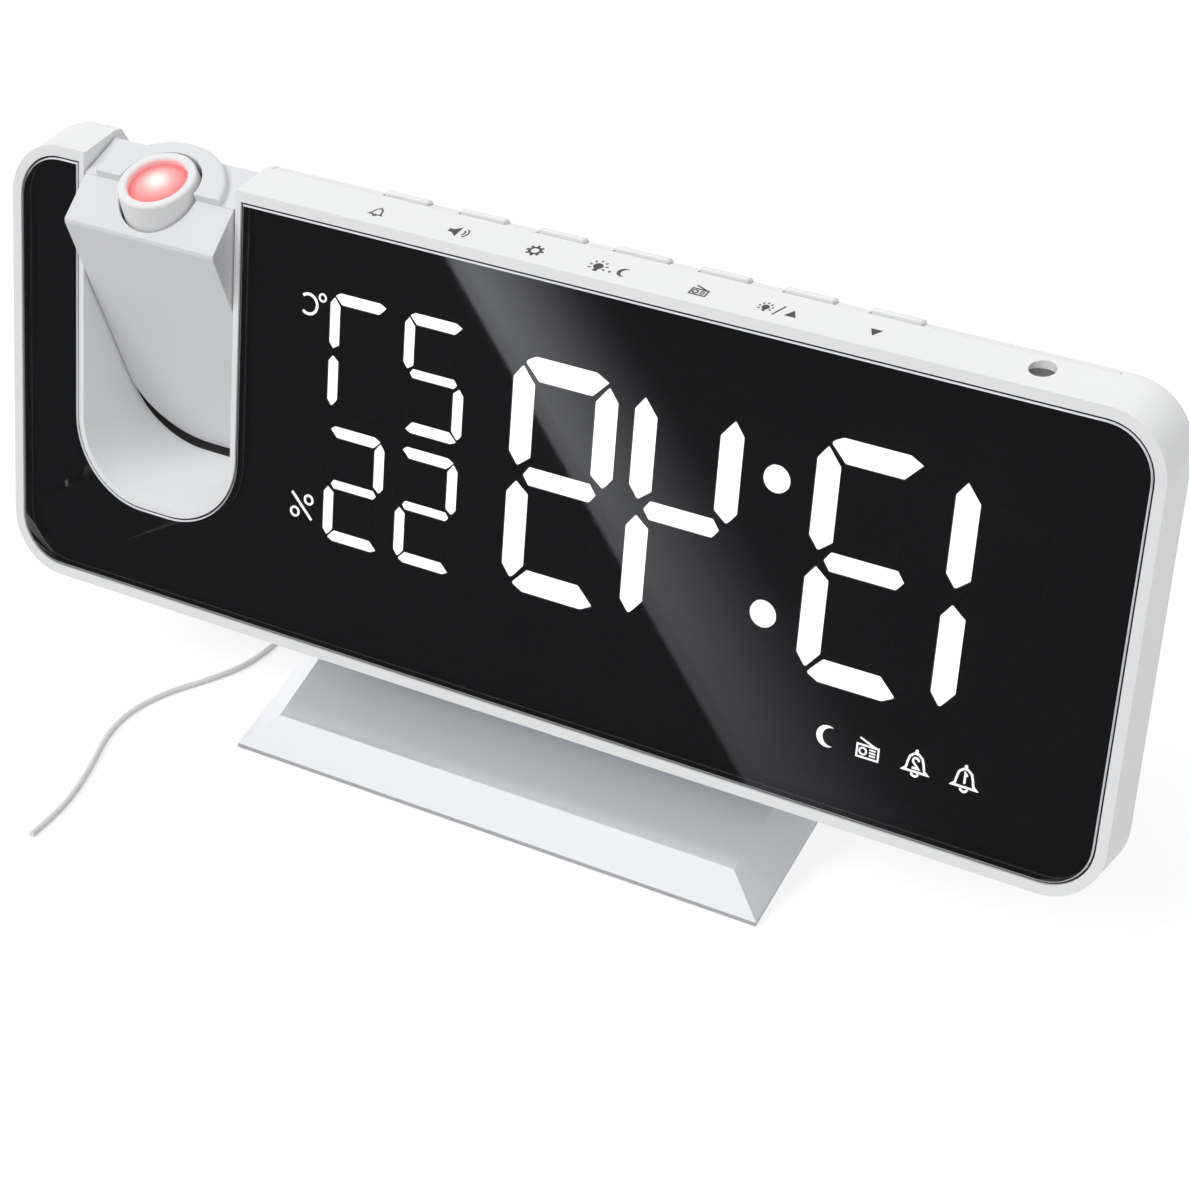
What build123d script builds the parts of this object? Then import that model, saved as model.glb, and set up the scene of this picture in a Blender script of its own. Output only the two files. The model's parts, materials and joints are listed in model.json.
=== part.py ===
from build123d import *
import math
import os

os.makedirs("parts", exist_ok=True)

# Projection alarm clock, in millimetres. The floor is Z = 0 and the clock faces -Y.
# Positions across the clock are measured from its middle, +X to the viewer's right.

# ---------------------------------------------------------------- clearances
panel_gap = 0.3        # round the glass and the top buttons' deck
fit_gap = 0.15         # between pieces that stay together
arm_gap = 0.3          # between the arm and the slot's cheeks
button_gap = 0.2       # round each button in its well
pin_gap = 0.05         # radial, hinge pins in their bearings
ring_gap = 0.2         # round the focus ring
window_gap = 0.1       # round each lit bar in its window

# ---------------------------------------------------------------- stance
lean = 8.144           # how far the body leans back, degrees
glass_lift = 19.0      # lower edge of the glass above the floor
arm_tilt = 29.0        # how far the arm leans forward of the glass, degrees

# ---------------------------------------------------------------- glass panel
glass_width = 186.0
glass_height = 67.9
glass_thick = 2.0
glass_radius = 7.3
glass_bevel = 0.23

# ---------------------------------------------------------------- housing
rim_width = 1.65
ledge_width = 2.2      # what the glass rests on
ledge_thick = 1.5
wall = 1.8
front_depth = 8.5      # front shell, glass face to parting line
straight_depth = 9.2   # where the rear cover starts to taper
body_depth = 18.6      # glass face to the flat back
back_inset = 5.0       # how much the back is smaller at the sides and the bottom
back_drop = 11.0       # how much lower the back's upper edge is than the ridge
back_radius = 6.0
lip_depth = 0.6        # flat rim before the top strip starts to rise
ridge_depth = 7.4
strip_rise = 1.9

# ---------------------------------------------------------------- slot for the arm
slot_from_side = 26.4  # slot's middle to the left edge of the glass
slot_x = slot_from_side - glass_width / 2
slot_half = 14.3
slot_bottom = 15.1
slot_radius = 11.7
slot_slope = 0.25      # rise of the slot's bottom per mm of depth
slot_depth = 17.7
slot_rim = 0.93        # white rim beside the glass
slot_wall = 2.0        # behind the glass
bumper_depth = 1.5
bumper_top = 30.0

# ---------------------------------------------------------------- projector arm
arm_half = slot_half - arm_gap
arm_thick = 16.0
arm_wall = 1.6
arm_tail = 33.1        # hinge axis to the lower end
arm_brow = 12.9        # hinge axis to the front upper edge
arm_top = 15.8         # hinge axis to the flat top
arm_ridge = 7.7        # front face to the ridge of the top
arm_radius = 12.0
arm_bevel = 0.6
arm_ceiling = 10.2     # inner height above the hinge axis
hinge_depth = 8.0      # glass face to hinge axis
glass_meet = 51.0      # height where the arm's front leaves the glass face
collar_radius = 11.8
collar_centre = 2.2    # in front of the hinge axis
collar_foot = 4.0
collar_rise = 1.2

# ---------------------------------------------------------------- hinge
pin_radius = 2.0
pin_head_radius = 3.3
pin_head = 0.9
washer_radius = 3.9
washer_thick = 0.5
clip_thick = 0.7
clip_radius = 3.5

# ---------------------------------------------------------------- projector optics
ring_base_radius = 6.7
ring_rim_radius = 6.25
ring_top = 17.8        # above the hinge axis
ring_seat = 11.6
ring_bore = 4.7
ring_neck = 5.3
ring_flange = 6.15
ring_flange_thick = 0.8
lens_radius = 4.6
lens_seat = 15.4
lens_edge = 1.2
lens_dome = 1.0
tube_radius = 6.1
tube_wall = 1.3
tube_length = 20.0
slide_size = 6.4
slide_thick = 1.1
lamp_board_thick = 1.2

# ---------------------------------------------------------------- buttons
button_count = 7
button_width = 7.8
snooze_width = 8.9
button_front = 7.85    # glass face to the buttons' front face
button_deep = 4.2
button_proud = 0.65    # above the ridge
button_travel = 0.7
button_well = 7.2      # height of the guide below the ridge
button_flange = 0.8
stem_radius = 0.9
switch_wide = 6.0
switch_deep = 3.6
switch_tall = 2.6
switch_floor = 0.5
switch_lift = 1.2      # button flange to switch body at rest
board_thick = 1.2
deck_start = slot_x + slot_half + 1.3
deck_end = glass_width / 2 - 9.0
stem_spare = 0.4       # left under the stem when a button is pressed

# ---------------------------------------------------------------- light sensor
sensor_x = glass_width / 2 - 18.5
sensor_depth = 4.7
sensor_radius = 1.9
sensor_length = 6.0

# ---------------------------------------------------------------- display
guide_from_slot = 7.8  # slot's cheek to the light guide
guide_from_side = 8.6  # glass edge to the light guide
guide_bottom = 3.6
guide_from_top = 6.9
guide_left = slot_x + slot_half + guide_from_slot
guide_right = glass_width / 2 - guide_from_side
guide_top = glass_height - guide_from_top
guide_wide = guide_right - guide_left
guide_high = guide_top - guide_bottom
guide_thick = 4.0
bar_thick = 1.5
big_bar = 3.6
big_round = 0.35
small_bar = 1.7
small_round = 0.15
colon_radius = 2.05


def guide_x(share):
    """Place across the light guide, as a share of its width."""
    return guide_left + share * guide_wide


def guide_z(share):
    """Place up the light guide, as a share of its height."""
    return guide_bottom + share * guide_high


big_width = 0.13499 * guide_wide
big_height = 0.64286 * guide_high
big_middle = guide_z(0.57927)
big_digits = [
    (guide_x(0.3813), "abfged"),
    (guide_x(0.53801), "fbge"),
    (guide_x(0.76144), "afged"),
    (guide_x(0.92281), "fe"),
]
small_width = 0.08223 * guide_wide
small_height = 0.32578 * guide_high
small_digits = [
    (guide_x(0.10512), guide_z(0.76916), "afe"),
    (guide_x(0.20791), guide_z(0.76916), "afgcd"),
    (guide_x(0.10512), guide_z(0.40157), "abged"),
    (guide_x(0.20597), guide_z(0.40157), "abged"),
]
colon_x = guide_x(0.64895)
colon_heights = (guide_z(0.39373), guide_z(0.75261))
button_pitch = 0.102405 * guide_wide
button_first = guide_x(0.13305)
led_width = 2.4
led_height = 1.2
led_thick = 0.8

# ---------------------------------------------------------------- inner pieces
speaker_x = 11.0
speaker_z = glass_height / 2
speaker_radius = 14.0
main_left = slot_x + 24.6
main_right = speaker_x - speaker_radius - 5.0
main_bottom = 15.5
main_top = glass_height - 17.9
main_depth = 10.8
speaker_deep = 5.2
magnet_radius = 7.5
magnet_deep = 2.4
cell_x = glass_width / 2 - 37.4
cell_z = 21.5
cell_radius = 10.0
cell_thick = 3.2
holder_wall = 2.0
holder_floor = 0.9
door_half = 11.5
door_top = 36.0
door_thick = 1.4
door_tongue = 0.9
door_pad = 1.8
jack_x = slot_x + 32.6
jack_z = 21.0
jack_size = 7.6
jack_sleeve = 3.1
jack_bore = 2.0
jack_pin = 0.65
usb_x = glass_width / 2 - 16.5
usb_z = 8.6
usb_width = 13.2
usb_height = 5.8
usb_deep = 11.6
usb_wall = 0.35
usb_tongue_thick = 1.8
usb_tongue_width = 11.0
gland_x = slot_x + 13.6
gland_z = 8.0
gland_radius = 2.2
gland_long = 2.4
wire_radius = 0.5

# ---------------------------------------------------------------- screws
case_screws_at = [
    (6.3 - glass_width / 2, 14.0),
    (6.3 - glass_width / 2, glass_height - 6.9),
    (glass_width / 2 - 5.8, 16.0),
    (glass_width / 2 - 5.8, glass_height - 15.9),
]
boss_radius = 2.3
screw_radius = 1.1
screw_head_radius = 1.9
screw_head = 1.3
screw_bite = 0.02      # radial, screw in its boss
arm_screws_at = [(-8.5, -19.0), (8.5, -19.0)]

# ---------------------------------------------------------------- foot
foot_width = 92.6
foot_depth = 45.1
foot_reach = 7.1       # how far the foot reaches in front of the glass
foot_narrow = 0.137    # narrowing of each side per mm of depth
foot_side = 0.925      # inward slope of the ends per mm of height
foot_face = 3.7        # depth of the sloping front face
foot_lip = 1.2         # top of the upright lip above the floor
foot_height = 6.4
foot_lift = 0.5        # what the pads hold the shell off the floor
foot_wall = 1.8
foot_round = 0.25
neck_half = 30.0
neck_front = 14.2      # where the neck's front meets the plateau, from the glass
neck_back = 31.0
neck_top_front = 11.0  # stretch of the body's underside that the neck carries
neck_top_back = 18.3
neck_screw_x = 18.0
neck_screw_y = 16.1
neck_screw_radius = 1.6
neck_boss_wall = 0.8
neck_boss_top = 5.0    # above the lower edge of the glass
plate_thick = 1.2
weight_thick = 2.2
pad_radius = 5.0
pad_sunk = 0.4
post_radius = 2.4
post_in = 7.0

# ================================================================ frames
glass_y = -foot_depth / 2 + foot_reach
lean_angle = math.radians(lean)
panel = Plane(
    origin=(0, glass_y, glass_lift),
    x_dir=(1, 0, 0),
    z_dir=(0, -math.cos(lean_angle), math.sin(lean_angle)),
)
side = Plane(origin=panel.origin, x_dir=-panel.z_dir, z_dir=(1, 0, 0))
above = Plane(origin=panel.origin, x_dir=(1, 0, 0), z_dir=panel.y_dir)
outward = Axis(panel.origin, panel.z_dir)
upward = Axis(panel.origin, panel.y_dir)

# The arm's flat front lies flush with the glass when the arm is closed, so the hinge
# axis stands half the arm's thickness behind the glass.
tilt_angle = math.radians(arm_tilt)
hinge_height = glass_meet + hinge_depth * math.tan(tilt_angle / 2)
hinge_point = panel.from_local_coords((slot_x, hinge_height, -hinge_depth))
arm_angle = lean_angle - tilt_angle
arm = Plane(
    origin=hinge_point,
    x_dir=(1, 0, 0),
    z_dir=(0, -math.cos(arm_angle), math.sin(arm_angle)),
)
arm_side = Plane(origin=arm.origin, x_dir=-arm.z_dir, z_dir=(1, 0, 0))
arm_above = Plane(origin=arm.origin, x_dir=(1, 0, 0), z_dir=arm.y_dir)
arm_outward = Axis(arm.origin, arm.z_dir)
arm_upward = Axis(arm.origin, arm.y_dir)


def depth(value):
    """Plane parallel to the glass, this far behind its face."""
    return panel.offset(-value)


def to_world(x, height, behind):
    """Point given across the clock, up the glass and behind its face."""
    return panel.from_local_coords((x, height, -behind))


edge = panel_gap + rim_width
body_low = -edge
front_top = glass_height + edge
ridge_top = front_top + strip_rise
body_width = glass_width + 2 * edge
body_radius = glass_radius + edge
taper = body_depth - straight_depth
arch_high = glass_height + 12


def outline(low, high, narrow, radius):
    """Rounded outline of the body between two heights, narrowed on each side."""
    with Locations((0, (low + high) / 2)):
        RectangleRounded(body_width - 2 * narrow, high - low, radius)


# ================================================================ front shell
# The rim is flush with the glass. The top strip rises to the rear like a desk.
with BuildPart() as front_shell:
    with BuildSketch(depth(lip_depth)):
        outline(body_low, front_top, 0, body_radius)
    extrude(amount=lip_depth)
    with BuildSketch(depth(lip_depth)):
        outline(body_low, front_top, 0, body_radius)
    with BuildSketch(depth(ridge_depth)):
        outline(body_low, ridge_top, 0, body_radius)
    loft(ruled=True)
    with BuildSketch(depth(front_depth)):
        outline(body_low, ridge_top, 0, body_radius)
    extrude(amount=front_depth - ridge_depth)
    # pocket for the glass, window in the ledge behind it, and the hollow of the shell
    pocket = glass_thick + fit_gap
    with BuildSketch(depth(pocket)):
        with Locations((0, glass_height / 2)):
            RectangleRounded(
                glass_width + 2 * panel_gap,
                glass_height + 2 * panel_gap,
                glass_radius + panel_gap,
            )
    extrude(amount=pocket + 1, mode=Mode.SUBTRACT)
    with BuildSketch(depth(pocket + ledge_thick)):
        with Locations((0, glass_height / 2)):
            RectangleRounded(
                glass_width - 2 * ledge_width,
                glass_height - 2 * ledge_width,
                glass_radius - ledge_width,
            )
    extrude(amount=ledge_thick + 0.5, mode=Mode.SUBTRACT)
    with BuildSketch(depth(front_depth + 1)):
        outline(body_low + wall, front_top - wall, wall, body_radius - wall)
    extrude(amount=front_depth + 1 - pocket - ledge_thick, mode=Mode.SUBTRACT)
    # channel for the arm: a thin rim beside the glass, a thicker wall behind it
    with BuildSketch(depth(pocket)) as rim_arch:
        with Locations((slot_x, slot_bottom - slot_rim + arch_high / 2)):
            Rectangle(2 * (slot_half + slot_rim), arch_high)
        fillet(rim_arch.vertices().group_by(Axis.Y)[0], slot_radius + slot_rim)
        with Locations((slot_x, front_top + arch_high / 2)):
            Rectangle(4 * slot_half, arch_high, mode=Mode.SUBTRACT)
    extrude(amount=pocket)
    slot_run = (-panel.z_dir + panel.y_dir * slot_slope).normalized()
    slot_stretch = math.hypot(1, slot_slope)
    with BuildSketch(depth(pocket)) as wall_arch:
        low = slot_bottom + slot_slope * pocket - slot_wall
        with Locations((slot_x, low + arch_high / 2)):
            Rectangle(2 * (slot_half + slot_wall), arch_high)
        fillet(wall_arch.vertices().group_by(Axis.Y)[0], slot_radius + slot_wall)
    extrude(amount=(slot_depth - pocket) * slot_stretch, dir=slot_run)
    # the channel's cheeks are cut off along the outer faces
    with BuildSketch(side.offset(slot_x)):
        with BuildLine():
            Polyline(
                (-1, front_top),
                (lip_depth, front_top),
                (ridge_depth, ridge_top),
                (straight_depth, ridge_top),
                (body_depth, ridge_top - back_drop),
                (body_depth + 2, ridge_top - back_drop),
                (body_depth + 2, ridge_top + arch_high),
                (-1, ridge_top + arch_high),
                close=True,
            )
        make_face()
    extrude(amount=slot_half + slot_wall + 1, both=True, mode=Mode.SUBTRACT)
    with BuildSketch(depth(-1)) as slot_arch:
        with Locations((slot_x, slot_bottom - slot_slope + arch_high / 2)):
            Rectangle(2 * slot_half, arch_high)
        fillet(slot_arch.vertices().group_by(Axis.Y)[0], slot_radius)
    extrude(amount=(slot_depth + 3) * slot_stretch, dir=slot_run, mode=Mode.SUBTRACT)
    # bearings of the hinge pins
    with BuildSketch(side.offset(slot_x)):
        with Locations((hinge_depth, hinge_height)):
            Circle(pin_radius + pin_gap)
    extrude(amount=slot_half + slot_wall + 1, both=True, mode=Mode.SUBTRACT)
    # seat of the rear cover's button deck
    with BuildSketch(above.offset(front_top - wall - 1)):
        with Locations(((deck_start + deck_end) / 2, front_depth)):
            Rectangle(
                deck_end - deck_start + 2 * fit_gap,
                2 * (front_depth - ridge_depth - fit_gap),
            )
    extrude(amount=strip_rise + wall + 2, mode=Mode.SUBTRACT)
    # hole of the light sensor
    with BuildSketch(above.offset(glass_height - ledge_width - 1)):
        with Locations((sensor_x, sensor_depth)):
            Circle(sensor_radius)
    extrude(amount=ledge_width + edge + strip_rise + 2, mode=Mode.SUBTRACT)
    # bosses for the case screws, on ears of the ledge
    with BuildSketch(depth(pocket + ledge_thick)):
        for boss_x, boss_z in case_screws_at:
            reach = glass_width / 2 - abs(boss_x)
            with Locations((math.copysign(glass_width / 2 - reach / 2, boss_x), boss_z)):
                Rectangle(reach, 2 * boss_radius)
    extrude(amount=ledge_thick)
    with BuildSketch(depth(front_depth)):
        with Locations(*case_screws_at):
            Circle(boss_radius)
    extrude(amount=front_depth - pocket)
    with BuildSketch(depth(front_depth)):
        with Locations(*case_screws_at):
            Circle(screw_radius + screw_bite)
    extrude(amount=front_depth - pocket - ledge_thick, mode=Mode.SUBTRACT)
front_shell.part.label = "front_shell"
export_step(front_shell.part, "parts/front_shell.step")

# ================================================================ display panel
with BuildPart() as display_panel:
    with BuildSketch(depth(glass_thick)) as glass_face:
        with Locations((0, glass_height / 2)):
            RectangleRounded(glass_width, glass_height, glass_radius)
    extrude(amount=glass_thick)
    with BuildSketch(depth(glass_thick)) as glass_arch:
        low = slot_bottom - slot_rim - panel_gap
        with Locations((slot_x, low + arch_high / 2)):
            Rectangle(2 * (slot_half + slot_rim + panel_gap), arch_high)
        fillet(
            glass_arch.vertices().group_by(Axis.Y)[0],
            slot_radius + slot_rim + panel_gap,
        )
    extrude(amount=glass_thick, mode=Mode.SUBTRACT)
    chamfer(display_panel.faces().sort_by(outward)[-1].edges(), glass_bevel)
display_panel.part.label = "display_panel"
export_step(display_panel.part, "parts/display_panel.step")

# ================================================================ rear cover
back_high = ridge_top - back_drop
back_low = body_low + back_inset
inner_back = body_depth - wall
door_floor = body_depth - door_thick - fit_gap
pad_face = door_floor - door_pad
with BuildPart() as rear_cover:
    with BuildSketch(depth(straight_depth)):
        outline(body_low, ridge_top, 0, body_radius)
    extrude(amount=straight_depth - front_depth)
    with BuildSketch(depth(straight_depth)):
        outline(body_low, ridge_top, 0, body_radius)
    with BuildSketch(depth(body_depth)):
        outline(back_low, back_high, back_inset, back_radius)
    loft(ruled=True)
    # hollow, with the walls following the taper
    shift = wall + 0.2
    with BuildSketch(depth(front_depth)):
        outline(body_low + shift, ridge_top - shift, shift, body_radius - shift)
    with BuildSketch(depth(straight_depth - 0.2)):
        outline(body_low + shift, ridge_top - shift, shift, body_radius - shift)
    loft(ruled=True, mode=Mode.SUBTRACT)
    with BuildSketch(depth(straight_depth - 0.2)):
        outline(body_low + shift, ridge_top - shift, shift, body_radius - shift)
    with BuildSketch(depth(inner_back)):
        part_way = (inner_back - straight_depth) / taper
        outline(
            body_low + shift + back_inset * part_way,
            ridge_top - shift - back_drop * part_way,
            shift + back_inset * part_way,
            body_radius - shift - (body_radius - back_radius) * part_way,
        )
    loft(ruled=True, mode=Mode.SUBTRACT)
    # opening round the arm's channel
    with BuildSketch(depth(front_depth - 1)) as cover_arch:
        low = slot_bottom + slot_slope * (front_depth - 1) - slot_wall - fit_gap
        with Locations((slot_x, low + arch_high / 2)):
            Rectangle(2 * (slot_half + slot_wall + fit_gap), arch_high)
        fillet(
            cover_arch.vertices().group_by(Axis.Y)[0],
            slot_radius + slot_wall + fit_gap,
        )
    extrude(
        amount=(body_depth + 3 - front_depth) * slot_stretch,
        dir=slot_run,
        mode=Mode.SUBTRACT,
    )
    # guide of the buttons, which reaches forward into the front shell's seat
    row_middle = button_first + button_pitch * (button_count - 1) / 2
    row_length = button_pitch * (button_count - 1) + snooze_width + 6
    with BuildSketch(side.offset(row_middle)):
        with BuildLine():
            Polyline(
                (ridge_depth + 2 * fit_gap, ridge_top - button_well),
                (ridge_depth + 2 * fit_gap, ridge_top),
                (straight_depth, ridge_top),
                (
                    button_front + button_deep + 2,
                    ridge_top
                    - (button_front + button_deep + 2 - straight_depth) * back_drop / taper,
                ),
                (button_front + button_deep + 2, ridge_top - button_well),
                close=True,
            )
        make_face()
    extrude(amount=row_length / 2, both=True)
    with BuildSketch(side.offset((deck_start + deck_end) / 2)):
        with BuildLine():
            Polyline(
                (ridge_depth + 2 * fit_gap, front_top - wall - 1 + fit_gap),
                (ridge_depth + 2 * fit_gap, ridge_top),
                (straight_depth, ridge_top),
                (straight_depth, front_top - wall - 1 + fit_gap),
                close=True,
            )
        make_face()
    extrude(amount=(deck_end - deck_start) / 2, both=True)
    with BuildSketch(above.offset(ridge_top - button_well - 1)):
        for place in range(button_count):
            wide = snooze_width if place == button_count // 2 else button_width
            with Locations(
                (button_first + place * button_pitch, button_front + button_deep / 2)
            ):
                Rectangle(wide + 2 * button_gap, button_deep + 2 * button_gap)
    extrude(amount=button_well + 3, mode=Mode.SUBTRACT)
    # speaker grille and the ring that holds the speaker
    with BuildSketch(depth(inner_back)):
        with Locations((speaker_x, speaker_z)):
            Circle(speaker_radius + fit_gap + 1.4)
            Circle(speaker_radius + fit_gap, mode=Mode.SUBTRACT)
    extrude(amount=speaker_deep * 0.6)
    with BuildSketch(depth(body_depth)):
        with Locations((speaker_x, speaker_z)):
            Circle(0.9)
            with PolarLocations(3.4, 6):
                Circle(0.9)
            with PolarLocations(6.8, 12):
                Circle(0.9)
            with PolarLocations(10.2, 18):
                Circle(0.9)
    extrude(amount=wall + 0.1, mode=Mode.SUBTRACT)
    # battery hatch: thick pad, sliding seat with grooves, round mouth
    with BuildSketch(depth(inner_back)):
        with Locations((cell_x, (back_low + door_top + 4) / 2)):
            Rectangle(2 * (door_half + door_tongue) + 2.4, door_top + 4 - back_low)
    extrude(amount=inner_back - pad_face)
    with BuildSketch(depth(body_depth)):
        with Locations((cell_x, fit_gap)):
            Rectangle(2 * (door_half + fit_gap), 2 * door_top)
    extrude(amount=body_depth - door_floor, mode=Mode.SUBTRACT)
    with BuildSketch(depth(door_floor + 0.8)):
        with Locations((cell_x, fit_gap)):
            Rectangle(2 * (door_half + door_tongue + fit_gap), 2 * door_top)
    extrude(amount=0.8, mode=Mode.SUBTRACT)
    with BuildSketch(depth(door_floor)):
        with Locations((cell_x, cell_z)):
            Circle(cell_radius + 0.5)
    extrude(amount=door_pad + 1, mode=Mode.SUBTRACT)
    # posts of the main board
    with BuildSketch(depth(inner_back)):
        with Locations(
            (main_left + 3, main_top - 3),
            (main_right - 3, main_top - 3),
            (main_right - 3, main_bottom + 3),
            (main_left + 3, main_bottom + 12),
        ):
            Circle(1.8)
    extrude(amount=inner_back - main_depth - board_thick)
    # sockets: power inlet, USB outlet and antenna gland
    with BuildSketch(depth(body_depth)):
        with Locations((jack_x, jack_z)):
            Circle(jack_sleeve + fit_gap)
        with Locations((usb_x, usb_z)):
            Rectangle(usb_width + 2 * fit_gap, usb_height + 2 * fit_gap)
        with Locations((gland_x, gland_z)):
            Circle(gland_radius + 0.02)
    extrude(amount=wall + 3, mode=Mode.SUBTRACT)
    # bosses and wells of the case screws
    with BuildSketch(depth(body_depth - wall / 2)):
        with Locations(*case_screws_at):
            Circle(boss_radius)
    extrude(amount=body_depth - wall / 2 - front_depth - fit_gap)
    with BuildSketch(depth(body_depth)):
        with Locations(*case_screws_at):
            Circle(screw_radius + 0.1)
    extrude(amount=body_depth - front_depth, mode=Mode.SUBTRACT)
    with BuildSketch(depth(body_depth)):
        with Locations(*case_screws_at):
            Circle(screw_head_radius + fit_gap)
    extrude(amount=screw_head + 2.2, mode=Mode.SUBTRACT)
    # bosses over the foot's neck
    with BuildSketch(Plane.XY.offset(glass_lift + neck_boss_top)):
        with Locations(
            (-neck_screw_x, glass_y + neck_screw_y),
            (neck_screw_x, glass_y + neck_screw_y),
        ):
            Circle(neck_screw_radius + neck_boss_wall)
    extrude(until=Until.NEXT, dir=(0, 0, -1))
    with BuildSketch(Plane.XY.offset(glass_lift - 6)):
        with Locations(
            (-neck_screw_x, glass_y + neck_screw_y),
            (neck_screw_x, glass_y + neck_screw_y),
        ):
            Circle(neck_screw_radius + 0.05)
    extrude(amount=14, mode=Mode.SUBTRACT)
rear_cover.part.label = "rear_cover"
export_step(rear_cover.part, "parts/rear_cover.step")

# ================================================================ display
def bar_points(width, height, bar):
    """Corners of the seven bars of one digit, centred on the digit."""
    across = width / 2
    up = height / 2
    top = [
        (-across + 1.03 * bar, up),
        (across - 1.03 * bar, up),
        (across - 0.5 * bar, up - 0.28 * bar),
        (across - 1.19 * bar, up - bar),
        (-across + 1.19 * bar, up - bar),
        (-across + 0.5 * bar, up - 0.28 * bar),
    ]
    right = [
        (across - 0.42 * bar, up - 0.47 * bar),
        (across, up - 1.03 * bar),
        (across, 0.89 * bar),
        (across - 0.42 * bar, 0.34 * bar),
        (across - bar, 0.8 * bar),
        (across - bar, up - 1.19 * bar),
    ]
    middle = [
        (-across + bar, 0.39 * bar),
        (across - bar, 0.39 * bar),
        (across - 0.72 * bar, 0),
        (across - bar, -0.39 * bar),
        (-across + bar, -0.39 * bar),
        (-across + 0.72 * bar, 0),
    ]
    return {
        "a": top,
        "b": right,
        "c": [(x, -y) for x, y in right],
        "d": [(x, -y) for x, y in top],
        "e": [(-x, -y) for x, y in right],
        "f": [(-x, y) for x, y in right],
        "g": middle,
    }


def draw_bars(digits, width, height, bar, wanted):
    """Adds the bars of each digit, its lit ones, its dark ones or all of them."""
    shapes = bar_points(width, height, bar)
    for digit_x, digit_z, lit in digits:
        for name in shapes:
            if wanted == "all" or (name in lit) == (wanted == "lit"):
                with Locations((digit_x, digit_z)):
                    Polygon(*shapes[name], align=None)


big_places = [(x, big_middle, lit) for x, lit in big_digits]
guide_face = glass_thick + 2 * fit_gap
guide_back = guide_face + guide_thick
bar_face = guide_face + 0.1
bar_back = bar_face + bar_thick

with BuildPart() as time_segments:
    with BuildSketch(depth(bar_back)) as lit_big:
        draw_bars(big_places, big_width, big_height, big_bar, "lit")
        fillet(lit_big.vertices(), big_round)
        with Locations(*[(colon_x, height) for height in colon_heights]):
            Circle(colon_radius)
    extrude(amount=bar_thick)
time_segments.part.label = "time_segments"
export_step(time_segments.part, "parts/time_segments.step")

with BuildPart() as reading_segments:
    with BuildSketch(depth(bar_back)) as lit_small:
        draw_bars(small_digits, small_width, small_height, small_bar, "lit")
        fillet(lit_small.vertices(), small_round)
    extrude(amount=bar_thick)
reading_segments.part.label = "reading_segments"
export_step(reading_segments.part, "parts/reading_segments.step")

with BuildPart() as dark_segments:
    with BuildSketch(depth(bar_back)):
        draw_bars(big_places, big_width, big_height, big_bar, "dark")
        draw_bars(small_digits, small_width, small_height, small_bar, "dark")
    extrude(amount=bar_thick)
dark_segments.part.label = "dark_segments"
export_step(dark_segments.part, "parts/dark_segments.step")

# The light guide keeps each bar's light to itself: one well for each bar.
with BuildPart() as light_guide:
    with BuildSketch(depth(guide_back)):
        with Locations(((guide_left + guide_right) / 2, (guide_bottom + guide_top) / 2)):
            RectangleRounded(guide_right - guide_left, guide_top - guide_bottom, 2)
    extrude(amount=guide_thick)
    with BuildSketch(depth(guide_back)) as wells:
        draw_bars(big_places, big_width, big_height, big_bar, "all")
        draw_bars(small_digits, small_width, small_height, small_bar, "all")
        with Locations(*[(colon_x, height) for height in colon_heights]):
            Circle(colon_radius)
        offset(amount=window_gap, kind=Kind.INTERSECTION, mode=Mode.REPLACE)
    extrude(amount=guide_thick, mode=Mode.SUBTRACT)
light_guide.part.label = "light_guide"
export_step(light_guide.part, "parts/light_guide.step")

board_face = guide_back + fit_gap
board_back = board_face + board_thick
with BuildPart() as display_board:
    with BuildSketch(depth(board_back)):
        with Locations(((guide_left + guide_right) / 2, (guide_bottom + guide_top) / 2)):
            RectangleRounded(guide_right - guide_left, guide_top - guide_bottom, 2)
        with Locations((usb_x, usb_z)):
            Rectangle(usb_width + 1, usb_height + 1, mode=Mode.SUBTRACT)
        with Locations((guide_right, guide_bottom)):
            Rectangle(9, 2 * (usb_z + usb_height / 2 + 0.5 - guide_bottom), mode=Mode.SUBTRACT)
    extrude(amount=board_thick)
display_board.part.label = "display_board"
export_step(display_board.part, "parts/display_board.step")


def bar_middles(width, height, bar):
    """Middle of each bar of one digit and whether it stands upright."""
    across = width / 2 - bar / 2
    high = height / 2 - bar / 2
    return [
        (0, high, False),
        (across, height / 4, True),
        (across, -height / 4, True),
        (0, -high, False),
        (-across, -height / 4, True),
        (-across, height / 4, True),
        (0, 0, False),
    ]


with BuildPart() as display_leds:
    with BuildSketch(depth(board_face)):
        for digit_x, digit_z, lit in big_places:
            for x, z, upright in bar_middles(big_width, big_height, big_bar):
                with Locations((digit_x + x, digit_z + z)):
                    if upright:
                        Rectangle(led_height, led_width)
                    else:
                        Rectangle(led_width, led_height)
        for digit_x, digit_z, lit in small_digits:
            for x, z, upright in bar_middles(small_width, small_height, small_bar):
                with Locations((digit_x + x, digit_z + z)):
                    if upright:
                        Rectangle(led_height, led_width)
                    else:
                        Rectangle(led_width, led_height)
        with Locations(*[(colon_x, height) for height in colon_heights]):
            Rectangle(led_width, led_height)
    extrude(amount=led_thick)
display_leds.part.label = "display_leds"
export_step(display_leds.part, "parts/display_leds.step")

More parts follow.
